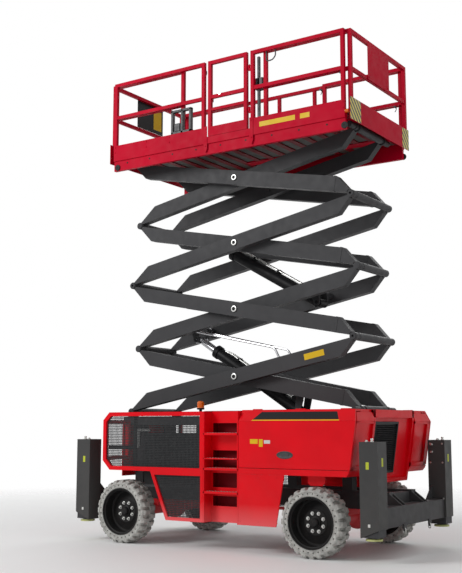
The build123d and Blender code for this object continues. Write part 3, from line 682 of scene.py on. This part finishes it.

# ladder: two cheeks, treads, and a back sheet with foot pockets, the pockets in a darker red as painted shade
back_y, sheet, pocket_wall = -side_y + 0.170, 0.020, 0.008
holes = [(0.560, 0.690), (0.800, 0.985), (1.060, 1.278), (1.506, 1.633)]  # z from, z to
treads = [(0.725, 0.030), (1.025, 0.030), (1.165, 0.016), (1.476, 0.030)]  # z, thickness
hole_x0, hole_x1, climb_top = ladder_low.x + 0.045, pod_x0 - 0.045, pod_top - 0.012
levels = [skirt_foot, *[z for hole in holes for z in hole], climb_top]
ladder, pockets, grips = Form(), Form(), Form()
for x in (ladder_low.x, pod_x0 - sheet):
    ladder.block((x, -side_y, skirt_foot), (x + sheet, back_y, climb_top), 0.003)
for z0, z1 in zip(levels[::2], levels[1::2]):
    ladder.block((ladder_low.x, back_y, z0), (pod_x0, back_y + sheet, z1))
for z0, z1 in holes:
    for x0, x1 in ((ladder_low.x, hole_x0), (hole_x1, pod_x0)):
        ladder.block((x0, back_y, z0), (x1, back_y + sheet, z1))
    y0, y1, wall = back_y + 0.004, back_y + 0.110, pocket_wall
    pockets.block((hole_x0 - wall, y1, z0 - wall), (hole_x1 + wall, y1 + wall, z1 + wall))
    for x in (hole_x0 - wall, hole_x1):
        pockets.block((x, y0, z0 - wall), (x + wall, y1, z1 + wall))
    for z in (z0 - wall, z1):
        pockets.block((hole_x0, y0, z), (hole_x1, y1, z + wall))
stud = [(0.012, 0), (0.012, 0.002), (0.008, 0.004), (0.006, 0.0015)]
for z0, thick in treads:
    ladder.block((ladder_low.x + 0.001, -side_y, z0), (pod_x0 - 0.001, back_y + 0.002, z0 + thick), 0.003)
    for x in steps(ladder_low.x + 0.05, ladder_high.x - 0.05, 11):
        for y in (0.035, 0.085):
            grips.lathe(stud, (x, ladder_low.y + y, z0 + thick), (0, 0, 1), 12)
ladder.piece("ladder_steps", "chassis", red, "red_paint", ["ladder"])
pockets.piece("ladder_pockets", "chassis", shade_dark_red, "red_paint")
grips.piece("tread_grips", "chassis", zinc, "steel")


# ---- guards ----
hole_pitch, mesh_thick = 0.022, 0.003


def perforated(form, outline, y):
    """Perforated sheet trimmed to a convex outline of (x, z) points."""
    mesh = bmesh.new()
    xs, zs = zip(*outline)
    columns, rows = int((max(xs) - min(xs)) / hole_pitch), int((max(zs) - min(zs)) / hole_pitch)
    step_x, step_z = (max(xs) - min(xs)) / columns, (max(zs) - min(zs)) / rows
    for i in range(columns):
        for j in range(rows):
            x, z = min(xs) + i * step_x, min(zs) + j * step_z
            pierced(mesh, lambda u, v: Vector((u, y, v)), x, x + step_x, z, z + step_z,
                    (step_x * 0.33, step_z * 0.36))
    bmesh.ops.remove_doubles(mesh, verts=mesh.verts, dist=0.0005)
    middle = Vector((sum(xs) / len(xs), y, sum(zs) / len(zs)))
    for a, b in zip(outline, outline[1:] + outline[:1]):
        start, along = Vector((a[0], y, a[1])), Vector((b[0] - a[0], 0, b[1] - a[1]))
        out = Vector((along.z, 0, -along.x)).normalized()
        if out.dot(middle - start) > 0:
            out = -out
        bmesh.ops.bisect_plane(mesh, geom=mesh.verts[:] + mesh.edges[:] + mesh.faces[:],
                               plane_co=start + out * 0.0001, plane_no=out, clear_outer=True)
    bmesh.ops.solidify(mesh, geom=mesh.faces[:], thickness=mesh_thick)
    data = bpy.data.meshes.new("sheet")
    mesh.to_mesh(data)
    mesh.free()
    form.mesh.from_mesh(data)
    bpy.data.meshes.remove(data)


lap = 0.01  # how far a sheet reaches under its frame
cage_x0, cage_x1 = cage_low.x + cage_bar - lap, cage_high.x - cage_bar + lap
cage_z0, cage_z1 = cage_low.z + cage_bar - lap, cage_high.z - cage_bar + lap
skirt_x1 = ladder_low.x - skirt_bar + lap
skirt_z0, skirt_z1 = skirt_foot + skirt_bar - lap, side_low - skirt_bar + lap
cage_sheet = [(cage_x0 + 0.11, cage_z0), (cage_x1, cage_z0), (cage_x1, cage_z1), (cage_x0 + 0.09, cage_z1),
              (cage_x0, cage_z1 - 0.09), (cage_x0, cage_z0 + 0.11)]
skirt_sheet = [(skirt_low.x + 0.06, skirt_z1), (rear_foot + 0.03, skirt_z0), (skirt_x1, skirt_z0),
               (skirt_x1, skirt_z1)]
post_x, bar_z = cage_low.x + 0.505, cage_low.z + 0.29
for tag, side in flanks:
    guard, post, bracket = Form(), Form(), Form()
    perforated(guard, cage_sheet, side * (side_y - 0.024))
    perforated(guard, skirt_sheet, side * (side_y - 0.024))
    guard.piece(f"guard_mesh_{tag}", "chassis", mesh_metal, "mesh_metal", ["mesh_panels"] if side < 0 else [])
    # inner post and bar of the cage, with the bracket between them
    y0, y1 = side * (side_y - 0.06), side * (side_y - 0.095)
    post.block((post_x, y0, skirt_z1 + 0.02), (post_x + 0.05, y1, cage_high.z - 0.06), 0.004)
    post.block((cage_low.x + 0.05, y0, bar_z), (post_x + 0.01, y1, bar_z + 0.05), 0.004)
    post.piece(f"cage_post_{tag}", "chassis", black, "black_paint")
    bracket.block((post_x + 0.07, y0, bar_z + 0.24), (post_x + 0.29, y1, bar_z + 0.275), 0.003)
    bracket.block((post_x + 0.07, y0, bar_z + 0.02), (post_x + 0.105, y1, bar_z + 0.25), 0.003)
    bracket.piece(f"cage_bracket_{tag}", "chassis", zinc, "steel")

# bolts on the skirts and cages, and a bracket under each pod's sill
body_bolts, arch = Form(), Form()
skirt_bolts = (ladder_high.x, (0.03, 0.30, 0.57), (cage_low.z - 0.035, skirt_foot + 0.05))
cage_bolts = (cage_low.x, (0.30, 0.85, 1.40), (cage_low.z + cage_bar / 2, cage_high.z - cage_bar / 2))
arch_outline = [(1.34, side_low - 0.001), (1.34, 0.90), (1.38, 0.865), (1.54, 0.865), (1.58, 0.90),
                (1.58, side_low - 0.001)]
for side in (-1, 1):
    for start, places, rows in (skirt_bolts, cage_bolts):
        for along in places:
            for z in rows:
                body_bolts.bolt((start + along, side * side_y, z), (0, side, 0), 0.008, 0.004)
    arch.slab([(x, side * 0.98, z) for x, z in arch_outline], (0, side * 0.03, 0), 0.002)
body_bolts.piece("body_bolts", "chassis", red, "red_paint")
arch.piece("arch_brackets", "chassis", red, "red_paint")

# beacon: ribbed lens on a black base, stalk and foot
top = beacon_high.z
stalk = Vector(((beacon_low.x + beacon_high.x) / 2, beacon_high.y - 0.040, 0))
lens_section = [(0.046, top - 0.094), (0.048, top - 0.088)]
for i in range(8):
    lens_section += [(0.048, top - 0.084 + i * 0.008), (0.0455, top - 0.080 + i * 0.008)]
lens_section += [(0.042, top - 0.014), (0.032, top - 0.004), (0.012, top)]
cage_under = cage_high.z - 0.045
lens, base = Form(), Form()
lens.lathe(lens_section, stalk, (0, 0, 1), 48)
lens.piece("beacon_lens", "chassis", amber, "amber", ["beacon"])
base.lathe([(0.020, cage_under), (0.020, top - 0.116), (0.050, top - 0.112), (0.052, top - 0.098),
            (0.047, top - 0.092)], stalk, (0, 0, 1), 36)
base.block((beacon_low.x + 0.008, cage_low.y + 0.050, cage_under),
           (beacon_high.x - 0.008, beacon_high.y - 0.005, cage_high.z - 0.008), 0.004)
base.piece("beacon_base", "chassis", black, "black_paint")


# ---- scissor pack ----
joints = {joint["name"]: joint for joint in frame["record"]["behaviour"]["joints"]}
arm_depth, pin_offset, stages, outer_face = 0.200, 0.010, 4, 0.585


def pin_of(joint):
    """Point of a joint's axis in the machine's middle plane."""
    x, _, z = joints[joint]["pos_m"]
    return Vector((x, 0, z))


left_pins = [pin_of(name) for name in ("lift", "fold_a2", "fold_a3", "fold_a4", "fold_platform")]


def arm_frame(kind, stage):
    """Matrix of an arm's own plane (u along, y, w across), its run and its rise."""
    sense = 1 if kind == "a" else -1
    start = left_pins[stage - 1] if sense > 0 else left_pins[stage]
    along = pin_of(f"fold_b{stage}") - start
    rise = (arm_depth + 2 * pin_offset) * sense
    run = sqrt((along.length * 2) ** 2 - rise**2)
    angle = atan2(along.z, along.x) - atan2(rise, run)
    return Matrix.Translation(start) @ Matrix.Rotation(-angle, 4, "Y"), run, rise


# ring and bolt on each centre pin, and a bolt on each end pin, of the outer arms
ring_section = [(0.028, 0.0), (0.042, 0.0), (0.042, 0.004), (0.036, 0.006), (0.028, 0.006), (0.028, 0.0)]
for stage in range(1, stages + 1):
    kind = "a" if stage % 2 else "b"
    matrix, run, rise = arm_frame(kind, stage)
    rings, bolts = Form(matrix), Form(matrix)
    for side in (-1, 1):
        centre = (run / 2, side * (outer_face + 0.012), rise / 2)
        rings.lathe(ring_section, centre, (0, side, 0), 36, capped=False)
        bolts.bolt(centre, (0, side, 0), 0.014, 0.010)
        for u, w in ((0.0, 0.0), (run, rise)):
            bolts.bolt((u, side * (outer_face + 0.014), w), (0, side, 0), 0.010, 0.006)
    rings.piece(f"pin_rings_{kind}{stage}", f"arm_{kind}{stage}", zinc, "steel")
    bolts.piece(f"pin_bolts_{kind}{stage}", f"arm_{kind}{stage}", black, "black_paint")

# blank plate on the lowest outer arm
matrix, run, _ = arm_frame("a", 1)
plate = Form(matrix)
for side in (-1, 1):
    plate.block((run / 2 + 1.12, side * (outer_face + 0.0001), 0.075),
                (run / 2 + 1.42, side * (outer_face + 0.0016), 0.155), 0.0004)
plate.piece("arm_plates", "arm_a1", yellow, "red_paint")

# safety props, hung on the stub tubes that carry the lower cylinder's head and folded down beside it
prop_y, prop_eye = 0.235, (0.846, 0.110)
prop_ring = [(0.046, -0.02), (0.064, -0.02), (0.064, 0.02), (0.046, 0.02), (0.046, -0.02)]
prop_tails = (  # side, place across, the tail's points
    ("near", -prop_y, ((0.399, 2.667), (0.478, 2.513))),
    ("far", prop_y, ((0.332, 2.667), (0.381, 2.594))),
)
for tag, y, tail in prop_tails:
    prop = Form()
    eye = arm_frame("a", 2)[0] @ Vector((prop_eye[0], y, prop_eye[1]))
    prop.pipe([eye + Vector((0.03, 0, -0.03))] + [(x, y, z) for x, z in tail], 0.017)
    prop.lathe(prop_ring, eye, (0, 1, 0), 32, capped=False)
    prop.piece(f"safety_prop_{tag}", "arm_a2", steel, "steel")

# pipes clipped along the cylinders' barrels, and a valve block on each
cylinder_eyes = {  # arm, stage and place (u, w) of the barrel's eye, then of the ram's
    "low": (("b", 1, (2.669, -0.458)), ("a", 2, (0.846, -0.040))),
    "high": (("a", 2, (2.900, -0.020)), ("b", 3, (1.150, -0.110))),
}
elbow = [(0.018, 0), (0.018, 0.02), (0.013, 0.022), (0.013, 0.05), (0.016, 0.052), (0.016, 0.075)]
for tag, eyes in cylinder_eyes.items():
    foot, head = [arm_frame(kind, stage)[0] @ Vector((u, 0, w)) for kind, stage, (u, w) in eyes]
    along, sideways = (head - foot).normalized(), Vector((0, 1, 0))
    across = sideways.cross(along)
    across = across if across.z > 0 else -across
    local = Matrix.Translation(foot) @ Matrix((along, sideways, across)).transposed().to_4x4()
    lines, valve = Form(local), Form(local)
    for y in (-0.035, 0.035):
        lines.pipe([(0.10, y, 0.088), (0.14, y, 0.108), (1.40, y, 0.108), (1.52, y, 0.088)], 0.010)
    lines.piece(f"pipes_{tag}", f"cylinder_{tag}", zinc, "steel")
    for x in (0.35, 0.80, 1.25):
        valve.block((x, -0.055, 0.080), (x + 0.03, 0.055, 0.122), 0.004)
        valve.bolt((x + 0.015, 0, 0.122), (0, 0, 1), 0.008, 0.007)
    valve.block((0.09, -0.060, 0.078), (0.22, 0.060, 0.150), 0.006)
    for y in (-0.03, 0.03):
        valve.lathe(elbow, (0.155, y, 0.150), (0, 0, 1), 16)
    valve.piece(f"valve_{tag}", f"cylinder_{tag}", black, "black_paint")


# ---- platform ----
near_y, far_y, floor_z, tube = rail_low.y, -rail_low.y, deck_high.z, 0.050
inside = near_y + tube
rail_under, mid_z, toe_z = rail_high.z - tube, floor_z + 0.570, floor_z + 0.138

# underside: floor sheet on cross ribs, the ribs in a darker red as painted shade
rib_wide, deck_half = 0.09, 0.849
under, ribs = Form(), Form()
under.block((deck_low.x + 0.01, -deck_half, floor_z - 0.0215),
            (deck_high.x - 0.01, deck_half, floor_z - 0.0202))
under.piece("deck_underside", "platform", floor_plate, "red_paint")
for x in steps(deck_low.x, deck_high.x - rib_wide, 17):
    ribs.block((x, -deck_half, floor_z - 0.036), (x + rib_wide, deck_half, floor_z - 0.021), 0.002)
ribs.piece("deck_ribs", "platform", shade_dark_red, "red_paint")

# far rail with its posts in line with the gate
far_rail = Form()
far_in = far_y - tube
far_rail.block((rail_low.x, far_in, rail_under), (rail_high.x, far_y, rail_high.z), 0.004)
far_rail.block((rail_low.x, far_in + 0.005, mid_z - tube / 2),
               (rail_high.x, far_y - 0.005, mid_z + tube / 2), 0.004)
far_rail.block((rail_low.x, far_y - 0.018, floor_z), (rail_high.x, far_y, toe_z), 0.002)
for x in (rail_low.x, -0.194, 0.430, rail_high.x - tube):
    far_rail.block((x, far_in, floor_z), (x + tube, far_y, rail_under + 0.002), 0.004)
far_rail.piece("far_rail", "platform", platform_shade_red, "red_paint", ["rails_far"])

# bumpers at the corners and amber marker lamps
bumpers, lamps = Form(), Form()
for side in (-1, 1):
    for x in (deck_low.x + 0.07, deck_high.x - 0.01):
        bumpers.lathe([(0.045, 0), (0.045, 0.014), (0.040, 0.0178), (0.012, 0.0178), (0.010, 0.012)],
                      (x, side * (far_y - 0.018), deck_low.z + 0.048), (0, side, 0), 36)
    lamps.lathe([(0.0245, 0), (0.0245, 0.036), (0.020, 0.046), (0.008, 0.050)],
                (deck_high.x, side * (far_y - 0.025), floor_z - 0.012), (1, 0, 0), 28)
bumpers.piece("corner_bumpers", "platform", dark_rubber, "black_paint")
lamps.piece("marker_lamps", "platform", amber, "amber")

# control station: a column inside the rail with a sloping box, its guard, lever, buttons and stop
station_x, box_z, desk_z = station_low.x, floor_z + 0.560, floor_z + 0.710
desk = [(0.0, box_z), (0.120, box_z), (0.150, box_z + 0.05), (0.100, desk_z), (0.0, desk_z)]  # y, z
station, knobs, stop = Form(), Form(), Form()
station.block((station_x + 0.06, inside, toe_z + 0.002),
              (station_x + 0.095, inside + 0.038, rail_under - 0.035), 0.003)
station.slab([(station_x, inside + y, z) for y, z in desk], (station_high.x - station_x, 0, 0), 0.006)
station.piece("control_station", "platform", dark_plastic, "plastic", ["control_box"])
knobs.lathe([(0.024, 0), (0.022, 0.012), (0.010, 0.018), (0.009, 0.055), (0.016, 0.062), (0.018, 0.085),
             (0.010, 0.095)], (station_x + 0.04, inside + 0.125, desk_z - 0.055), (0, 0.45, 0.9), 20)
for i in range(3):
    knobs.lathe([(0.009, 0), (0.009, 0.008), (0.006, 0.011)],
                (station_x + 0.08 + i * 0.022, inside + 0.126, desk_z - 0.06), (0, 0.45, 0.9), 14)
guard_x0, guard_x1 = station_x + 0.012, station_high.x - 0.012
knobs.pipe([(guard_x0, inside + 0.10, desk_z), (guard_x0, inside + 0.15, desk_z + 0.05),
            (guard_x1, inside + 0.15, desk_z + 0.05), (guard_x1, inside + 0.10, desk_z)], 0.006)
knobs.piece("station_controls", "platform", dark_rubber, "plastic")
stop.lathe([(0.010, 0), (0.010, 0.010), (0.020, 0.012), (0.020, 0.020), (0.014, 0.024)],
           (station_x + 0.115, inside + 0.137, desk_z - 0.095), (0, 0.85, 0.5), 24)
stop.piece("station_stop", "platform", red, "red_paint")

# blank plates on the toe board
plates = Form()
for x0, x1 in ((0.597, 1.154), (1.230, 1.374)):
    plates.block((x0, near_y - 0.0012, floor_z - 0.004), (x1, near_y - 0.0002, floor_z + 0.064), 0.0003)
plates.piece("toe_plates", "platform", yellow, "red_paint")

# spring pins with bent handles on the rails' inner faces
pin_section = [(0.013, 0), (0.013, 0.030), (0.009, 0.034), (0.009, 0.055), (0.012, 0.058), (0.012, 0.070)]
handle = ((0.0, 0.064, 0.0), (0.028, 0.066, -0.004), (0.034, 0.066, -0.05), (0.010, 0.064, -0.085))
latch_places = (  # along, side, above the floor
    (rail_low.x + 1.585, -1, 1.02), (1.80, -1, 0.53),
    (rail_low.x + 0.13, 1, 0.53), (1.80, 1, 0.53), (0.60, 1, 1.02),
)
latches = Form()
for x, side, rise in latch_places:
    y, z = -side * inside, floor_z + rise
    latches.lathe(pin_section, (x, y, z), (0, -side, 0), 16)
    latches.pipe([(x + dx, y - side * dy, z + dz) for dx, dy, dz in handle], 0.006, 8)
latches.piece("rail_latches", "platform", dark_plastic, "plastic")

# fold brackets that carry the rails beside the gate
wing = 0.03  # half width
brackets = Form()
for x in ((rail_low.x + 1.66 + gate_low.x) / 2 - 0.01, gate_high.x + 0.031):
    outline = [(-wing, 0.15), (-wing, -0.17), (0, -0.235), (wing, -0.17), (wing, 0.15)]
    brackets.slab([(x + dx, near_y - 0.006, floor_z + dz) for dx, dz in outline], (0, 0.0055, 0), 0.001)
    for z in (floor_z + 0.11, floor_z - 0.13):
        brackets.bolt((x, near_y - 0.006, z), (0, -1, 0), 0.010, 0.007)
brackets.piece("rail_brackets", "platform", platform_shade_red, "red_paint")

# bolts that clamp the posts through the toe boards, clear of the plates
bolts = Form()
for side in (-1, 1):
    for x in (rail_low.x + 0.025, rail_low.x + 0.62, rail_high.x - 0.025, rail_high.x - 0.62, 0.99, -0.93):
        for z in (floor_z + 0.03, floor_z + 0.11):
            if side > 0 or not 0.58 < x < 1.38:
                bolts.bolt((x, side * far_y, z), (0, side, 0), 0.009, 0.007)
bolts.piece("rail_bolts", "platform", platform_shade_red, "red_paint")

# gate: ring handle outside, latch bar and its handle inside
ring, closer = Form(), Form()
ring.lathe([(0.017, 0), (0.024, 0.001), (0.024, 0.005), (0.017, 0.006)],
           (-0.06, near_y + 0.0045, floor_z + 0.60), (0, -1, 0), 28)
ring.piece("gate_ring", "gate", zinc, "steel")
closer.block((gate_low.x + 0.012, inside - 0.002, floor_z + 0.50),
             (gate_low.x + 0.040, inside + 0.012, floor_z + 0.64), 0.003)
grab = ((0.010, 0.62), (0.045, 0.62), (0.045, 0.52), (0.010, 0.52))  # inward, above the floor
closer.pipe([(gate_low.x + 0.026, inside + y, floor_z + z) for y, z in grab], 0.006, 8)
closer.piece("gate_handle", "gate", dark_plastic, "plastic")

# looped handle under the top rail, and a holder low on the inner side
loop, holder = Form(), Form()
loop_route = ((0.843, 0.004), (0.846, -0.09), (0.80, -0.14), (0.70, -0.145), (0.70, 0.004))
loop.pipe([(x, near_y + tube / 2, rail_under + dz) for x, dz in loop_route], 0.009, 12)
loop.piece("entry_handle", "platform", dark_plastic, "plastic")
hold_x0, hold_x1, hold_y0, hold_y1 = -0.92, -0.565, near_y + 0.020, near_y + 0.075
for x in (hold_x0, -0.745, -0.60):
    holder.block((x, hold_y0, floor_z + 0.13), (x + 0.035, hold_y1, floor_z + 0.49), 0.003)
holder.block((hold_x0, hold_y0, floor_z + 0.465), (hold_x1, hold_y1, floor_z + 0.497), 0.003)
holder.block((hold_x0, hold_y0, floor_z + 0.125), (hold_x1, hold_y1 + 0.04, floor_z + 0.175), 0.003)
holder.block((-0.87, hold_y0 + 0.005, floor_z + 0.175), (-0.76, hold_y1 + 0.03, floor_z + 0.30), 0.012)
holder.piece("tool_holder", "platform", dark_plastic, "plastic")

# tread plate on the deck, and bolts along the side beams
tread_deck, beam_bolts = Form(), Form()
tread_deck.block((deck_low.x + 0.02, -0.80, floor_z + 0.0002), (deck_high.x - 0.02, 0.80, floor_z + 0.0025))
tread_deck.piece("deck_tread", "platform", floor_plate, "red_paint")
for side in (-1, 1):
    for i in range(9):
        x = deck_low.x + 0.25 + i * (deck_high.x - deck_low.x - 0.1) / 9
        beam_bolts.bolt((x, side * (deck_high.y - 0.0182), deck_low.z + 0.10), (0, side, 0), 0.009, 0.006)
beam_bolts.piece("beam_bolts", "platform", black, "black_paint")

# extensions: tread plate, rollers at their inner ends, striped corners and a blank sign on each end; the rear
# sign is black as painted shade
ext_run, toe_high, roller_y = 1.28, 0.299, 0.80
stripe_wide = {-1: 0.31, 1: 0.22}  # near corner, far corner
for tag, out in ends:
    body = f"extension_{tag}"
    low, high = corners(body)
    end_x = high.x if out > 0 else low.x
    x0, x1 = sorted((end_x + out * 0.0002, end_x + out * 0.0035))
    bars, guide, plate, sign = Form(), Form(), Form(), Form()
    for side, wide in stripe_wide.items():
        y0, y1 = sorted((side * (high.y + 0.0005), side * (high.y - wide)))
        bars.block((x0, y0 + 0.002, low.z + 0.003), (x0 + 0.0012, y1 - 0.002, low.z + toe_high - 0.004),
                   0.0003)
        inner_x = end_x - out * ext_run
        guide.lathe([(0.010, 0), (0.030, 0.002), (0.030, 0.020), (0.012, 0.022)],
                    (inner_x, side * roller_y, floor_z + 0.045), (0, side, 0), 24)
        guide.block((inner_x - 0.03, side * (roller_y - 0.01), floor_z + 0.026),
                    (inner_x + 0.03, side * roller_y, floor_z + 0.08), 0.002)
    bars.piece(f"hazard_{tag}", body, hazard_bars, "red_paint")
    guide.piece(f"rollers_{tag}", body, dark_plastic, "plastic")
    plate.block((low.x + 0.052, -0.810, floor_z + 0.0262), (high.x - 0.052, 0.810, floor_z + 0.0285))
    plate.piece(f"tread_{tag}_deck", body, floor_plate, "red_paint")
    if out > 0:
        sign.block((x0, -0.38, floor_z + 0.55), (x1 + 0.001, 0.28, floor_z + 1.055), 0.001)
        for y in (-0.33, 0.23):
            for z in (floor_z + 0.59, floor_z + 1.015):
                sign.bolt((x1 + 0.001, y, z), (1, 0, 0), 0.008, 0.005)
        sign.piece("sign_front", body, platform_shade_red, "red_paint")
    else:
        patch = Form()
        # rear sign in black: painted shade standing in for the plate in shadow
        sign.block((x0 - 0.001, -0.28, floor_z + 0.62), (x1, 0.36, floor_z + 1.08), 0.001)
        sign.piece("sign_rear_painted_shade", body, black, "black_paint")
        for a, b in ((x0 - 0.002, x0 - 0.0012), (x1 + 0.0002, x1 + 0.001)):
            patch.block((a, 0.12, floor_z + 0.68), (b, 0.32, floor_z + 1.0), 0.0003)
        patch.piece("sign_patch", body, yellow, "red_paint")


# ---- outriggers ----
leg_wide, leg_deep, web = 0.241, 0.243, 0.020
eye_x, eye_y, eye_z = beam_high.x - 0.010, 0.390, 0.360
beam_top = beam_high.z - 0.15
shackle_route = [(-0.018, 0.0), (0.0115, 0.0), (0.0115, -0.062), (-0.018, -0.062), (-0.018, 0.004)]
hose_union = [(0.016, 0), (0.016, 0.012), (0.011, 0.014), (0.011, 0.030), (0.014, 0.032), (0.014, 0.044)]
top_union = [(0.022, 0), (0.022, 0.010), (0.014, 0.012), (0.014, 0.022)]
union_cap = [(0.018, 0.024), (0.018, 0.040), (0.010, 0.044)]
for tag, sx in ends:
    shackles, fittings, webs = Form(), Form(), Form()
    for sy in (-1, 1):
        # shackle through the lashing eye
        shackles.pipe([(sx * (eye_x + dx), sy * eye_y, eye_z + dz) for dx, dz in shackle_route], 0.0065)
        # gussets from the beam up to the leg, and over the beam
        x = min(sx * (leg_high.x - 0.205), sx * (leg_high.x - 0.205 + web))
        corner_y, tip_y = sy * (leg_high.y - leg_deep), sy * (leg_high.y - 0.455)
        webs.slab([(x, corner_y, beam_top + 0.19), (x, corner_y, beam_top - 0.002),
                   (x, tip_y, beam_top - 0.002)], (web, 0, 0), 0.001)
        foot_x, tip_x = sx * (leg_high.x - leg_wide), sx * (beam_high.x - 0.03)
        for y in (0.272, 0.374):
            webs.slab([(foot_x, sy * y, beam_high.z), (tip_x, sy * y, beam_top - 0.002),
                       (foot_x, sy * y, beam_top - 0.002)], (0, sy * 0.025, 0), 0.001)
        # hose unions and bolts on the leg's inner face, and unions on its top
        for z in (leg_high.z - 0.06, leg_high.z - 0.16):
            fittings.lathe(hose_union, (foot_x + sx * 0.06, corner_y, z), (0, -sy, 0), 6)
        for z in (leg_low.z + 0.34, leg_high.z - 0.30, leg_high.z - 0.05):
            for x in (foot_x + sx * 0.035, foot_x + sx * (leg_wide - 0.035)):
                fittings.bolt((x, corner_y, z), (0, -sy, 0), 0.009, 0.006)
        top_x, top_y = sx * (leg_high.x - 0.10), sy * (leg_high.y - 0.06)
        fittings.lathe(top_union + union_cap, (top_x, top_y, leg_high.z), (0, 0, 1), 18)
        fittings.lathe(top_union, (top_x - sx * 0.07, top_y, leg_high.z), (0, 0, 1), 18)
    webs.piece(f"gussets_{tag}", "chassis", grey, "grey_paint")
    shackles.piece(f"shackles_{tag}", "chassis", zinc, "steel")
    fittings.piece(f"leg_fittings_{tag}", "chassis", zinc, "steel")


# ---- floor, light and camera ----
def surround(scene):
    """White world that lights the machine softly."""
    world = bpy.data.worlds.new("surround")
    scene.world = world
    world.use_nodes = True
    tree = world.node_tree
    tree.nodes.clear()
    rays = add(tree, "ShaderNodeLightPath").outputs
    shown = maths(tree, "MAXIMUM", rays["Is Camera Ray"], rays["Is Glossy Ray"])
    shown = maths(tree, "MAXIMUM", shown, rays["Is Transmission Ray"])
    strength = spread(tree, shown, 0.42, 1.0)
    sky = add(tree, "ShaderNodeBackground", {"Color": (1, 1, 1, 1), "Strength": strength})
    add(tree, "ShaderNodeOutputWorld", {"Surface": sky.outputs[0]})


def ground(radius):
    """Pale floor that fades out towards its rim."""
    bpy.ops.mesh.primitive_circle_add(vertices=96, radius=radius, fill_type="NGON",
                                      location=(0, 0, cad_box[0][2]))
    floor = bpy.context.object
    floor.name = "floor"
    made, tree, shader = blank("floor")
    shader.inputs["Roughness"].default_value = 0.7
    shade = spread(tree, noise(tree, 0.8, 3), 0.90, 0.93)
    tint = add(tree, "ShaderNodeCombineColor", {0: shade, 1: shade, 2: shade}).outputs[0]
    tree.links.new(tint, shader.inputs["Base Color"])
    reach = add(tree, "ShaderNodeVectorMath", {0: place(tree)}, operation="LENGTH").outputs["Value"]
    tree.links.new(spread(tree, reach, 1.0, 0.0, radius * 0.30, radius * 0.95), shader.inputs["Alpha"])
    floor.data.materials.append(made)


def add_lamp(scene, name, where, size, power, aim):
    """Square lamp turned to a point."""
    data = bpy.data.lights.new(name, "AREA")
    data.size = size
    data.energy = power
    made = bpy.data.objects.new(name, data)
    scene.collection.objects.link(made)
    made.location = where
    made.rotation_euler = (Vector(aim) - Vector(where)).to_track_quat("-Z", "Y").to_euler()


def add_camera(scene, where, lens, tilt, turn):
    """Camera low off the front of the near side."""
    data = bpy.data.cameras.new("camera")
    data.lens = lens
    data.sensor_width = 36.0
    data.clip_end = 200.0
    made = bpy.data.objects.new("camera", data)
    scene.collection.objects.link(made)
    made.location = where
    made.rotation_euler = (radians(90 + tilt), 0, radians(turn))
    scene.camera = made


scene = bpy.context.scene
scene.view_settings.view_transform = "Standard"
surround(scene)
ground(radius=14.0)
add_lamp(scene, "key", (-7.5, -12.5, 9.5), size=6.0, power=1250, aim=(0, 0, 3.0))
add_lamp(scene, "front", (12.0, -3.0, 7.0), size=6.0, power=90, aim=(0, 0, 3.0))
add_lamp(scene, "back", (-2.0, 11.0, 9.0), size=7.0, power=260, aim=(0, 0, 3.5))
add_camera(scene, (7.443, -11.787, 1.599), lens=61.76, tilt=8.058, turn=33.907)
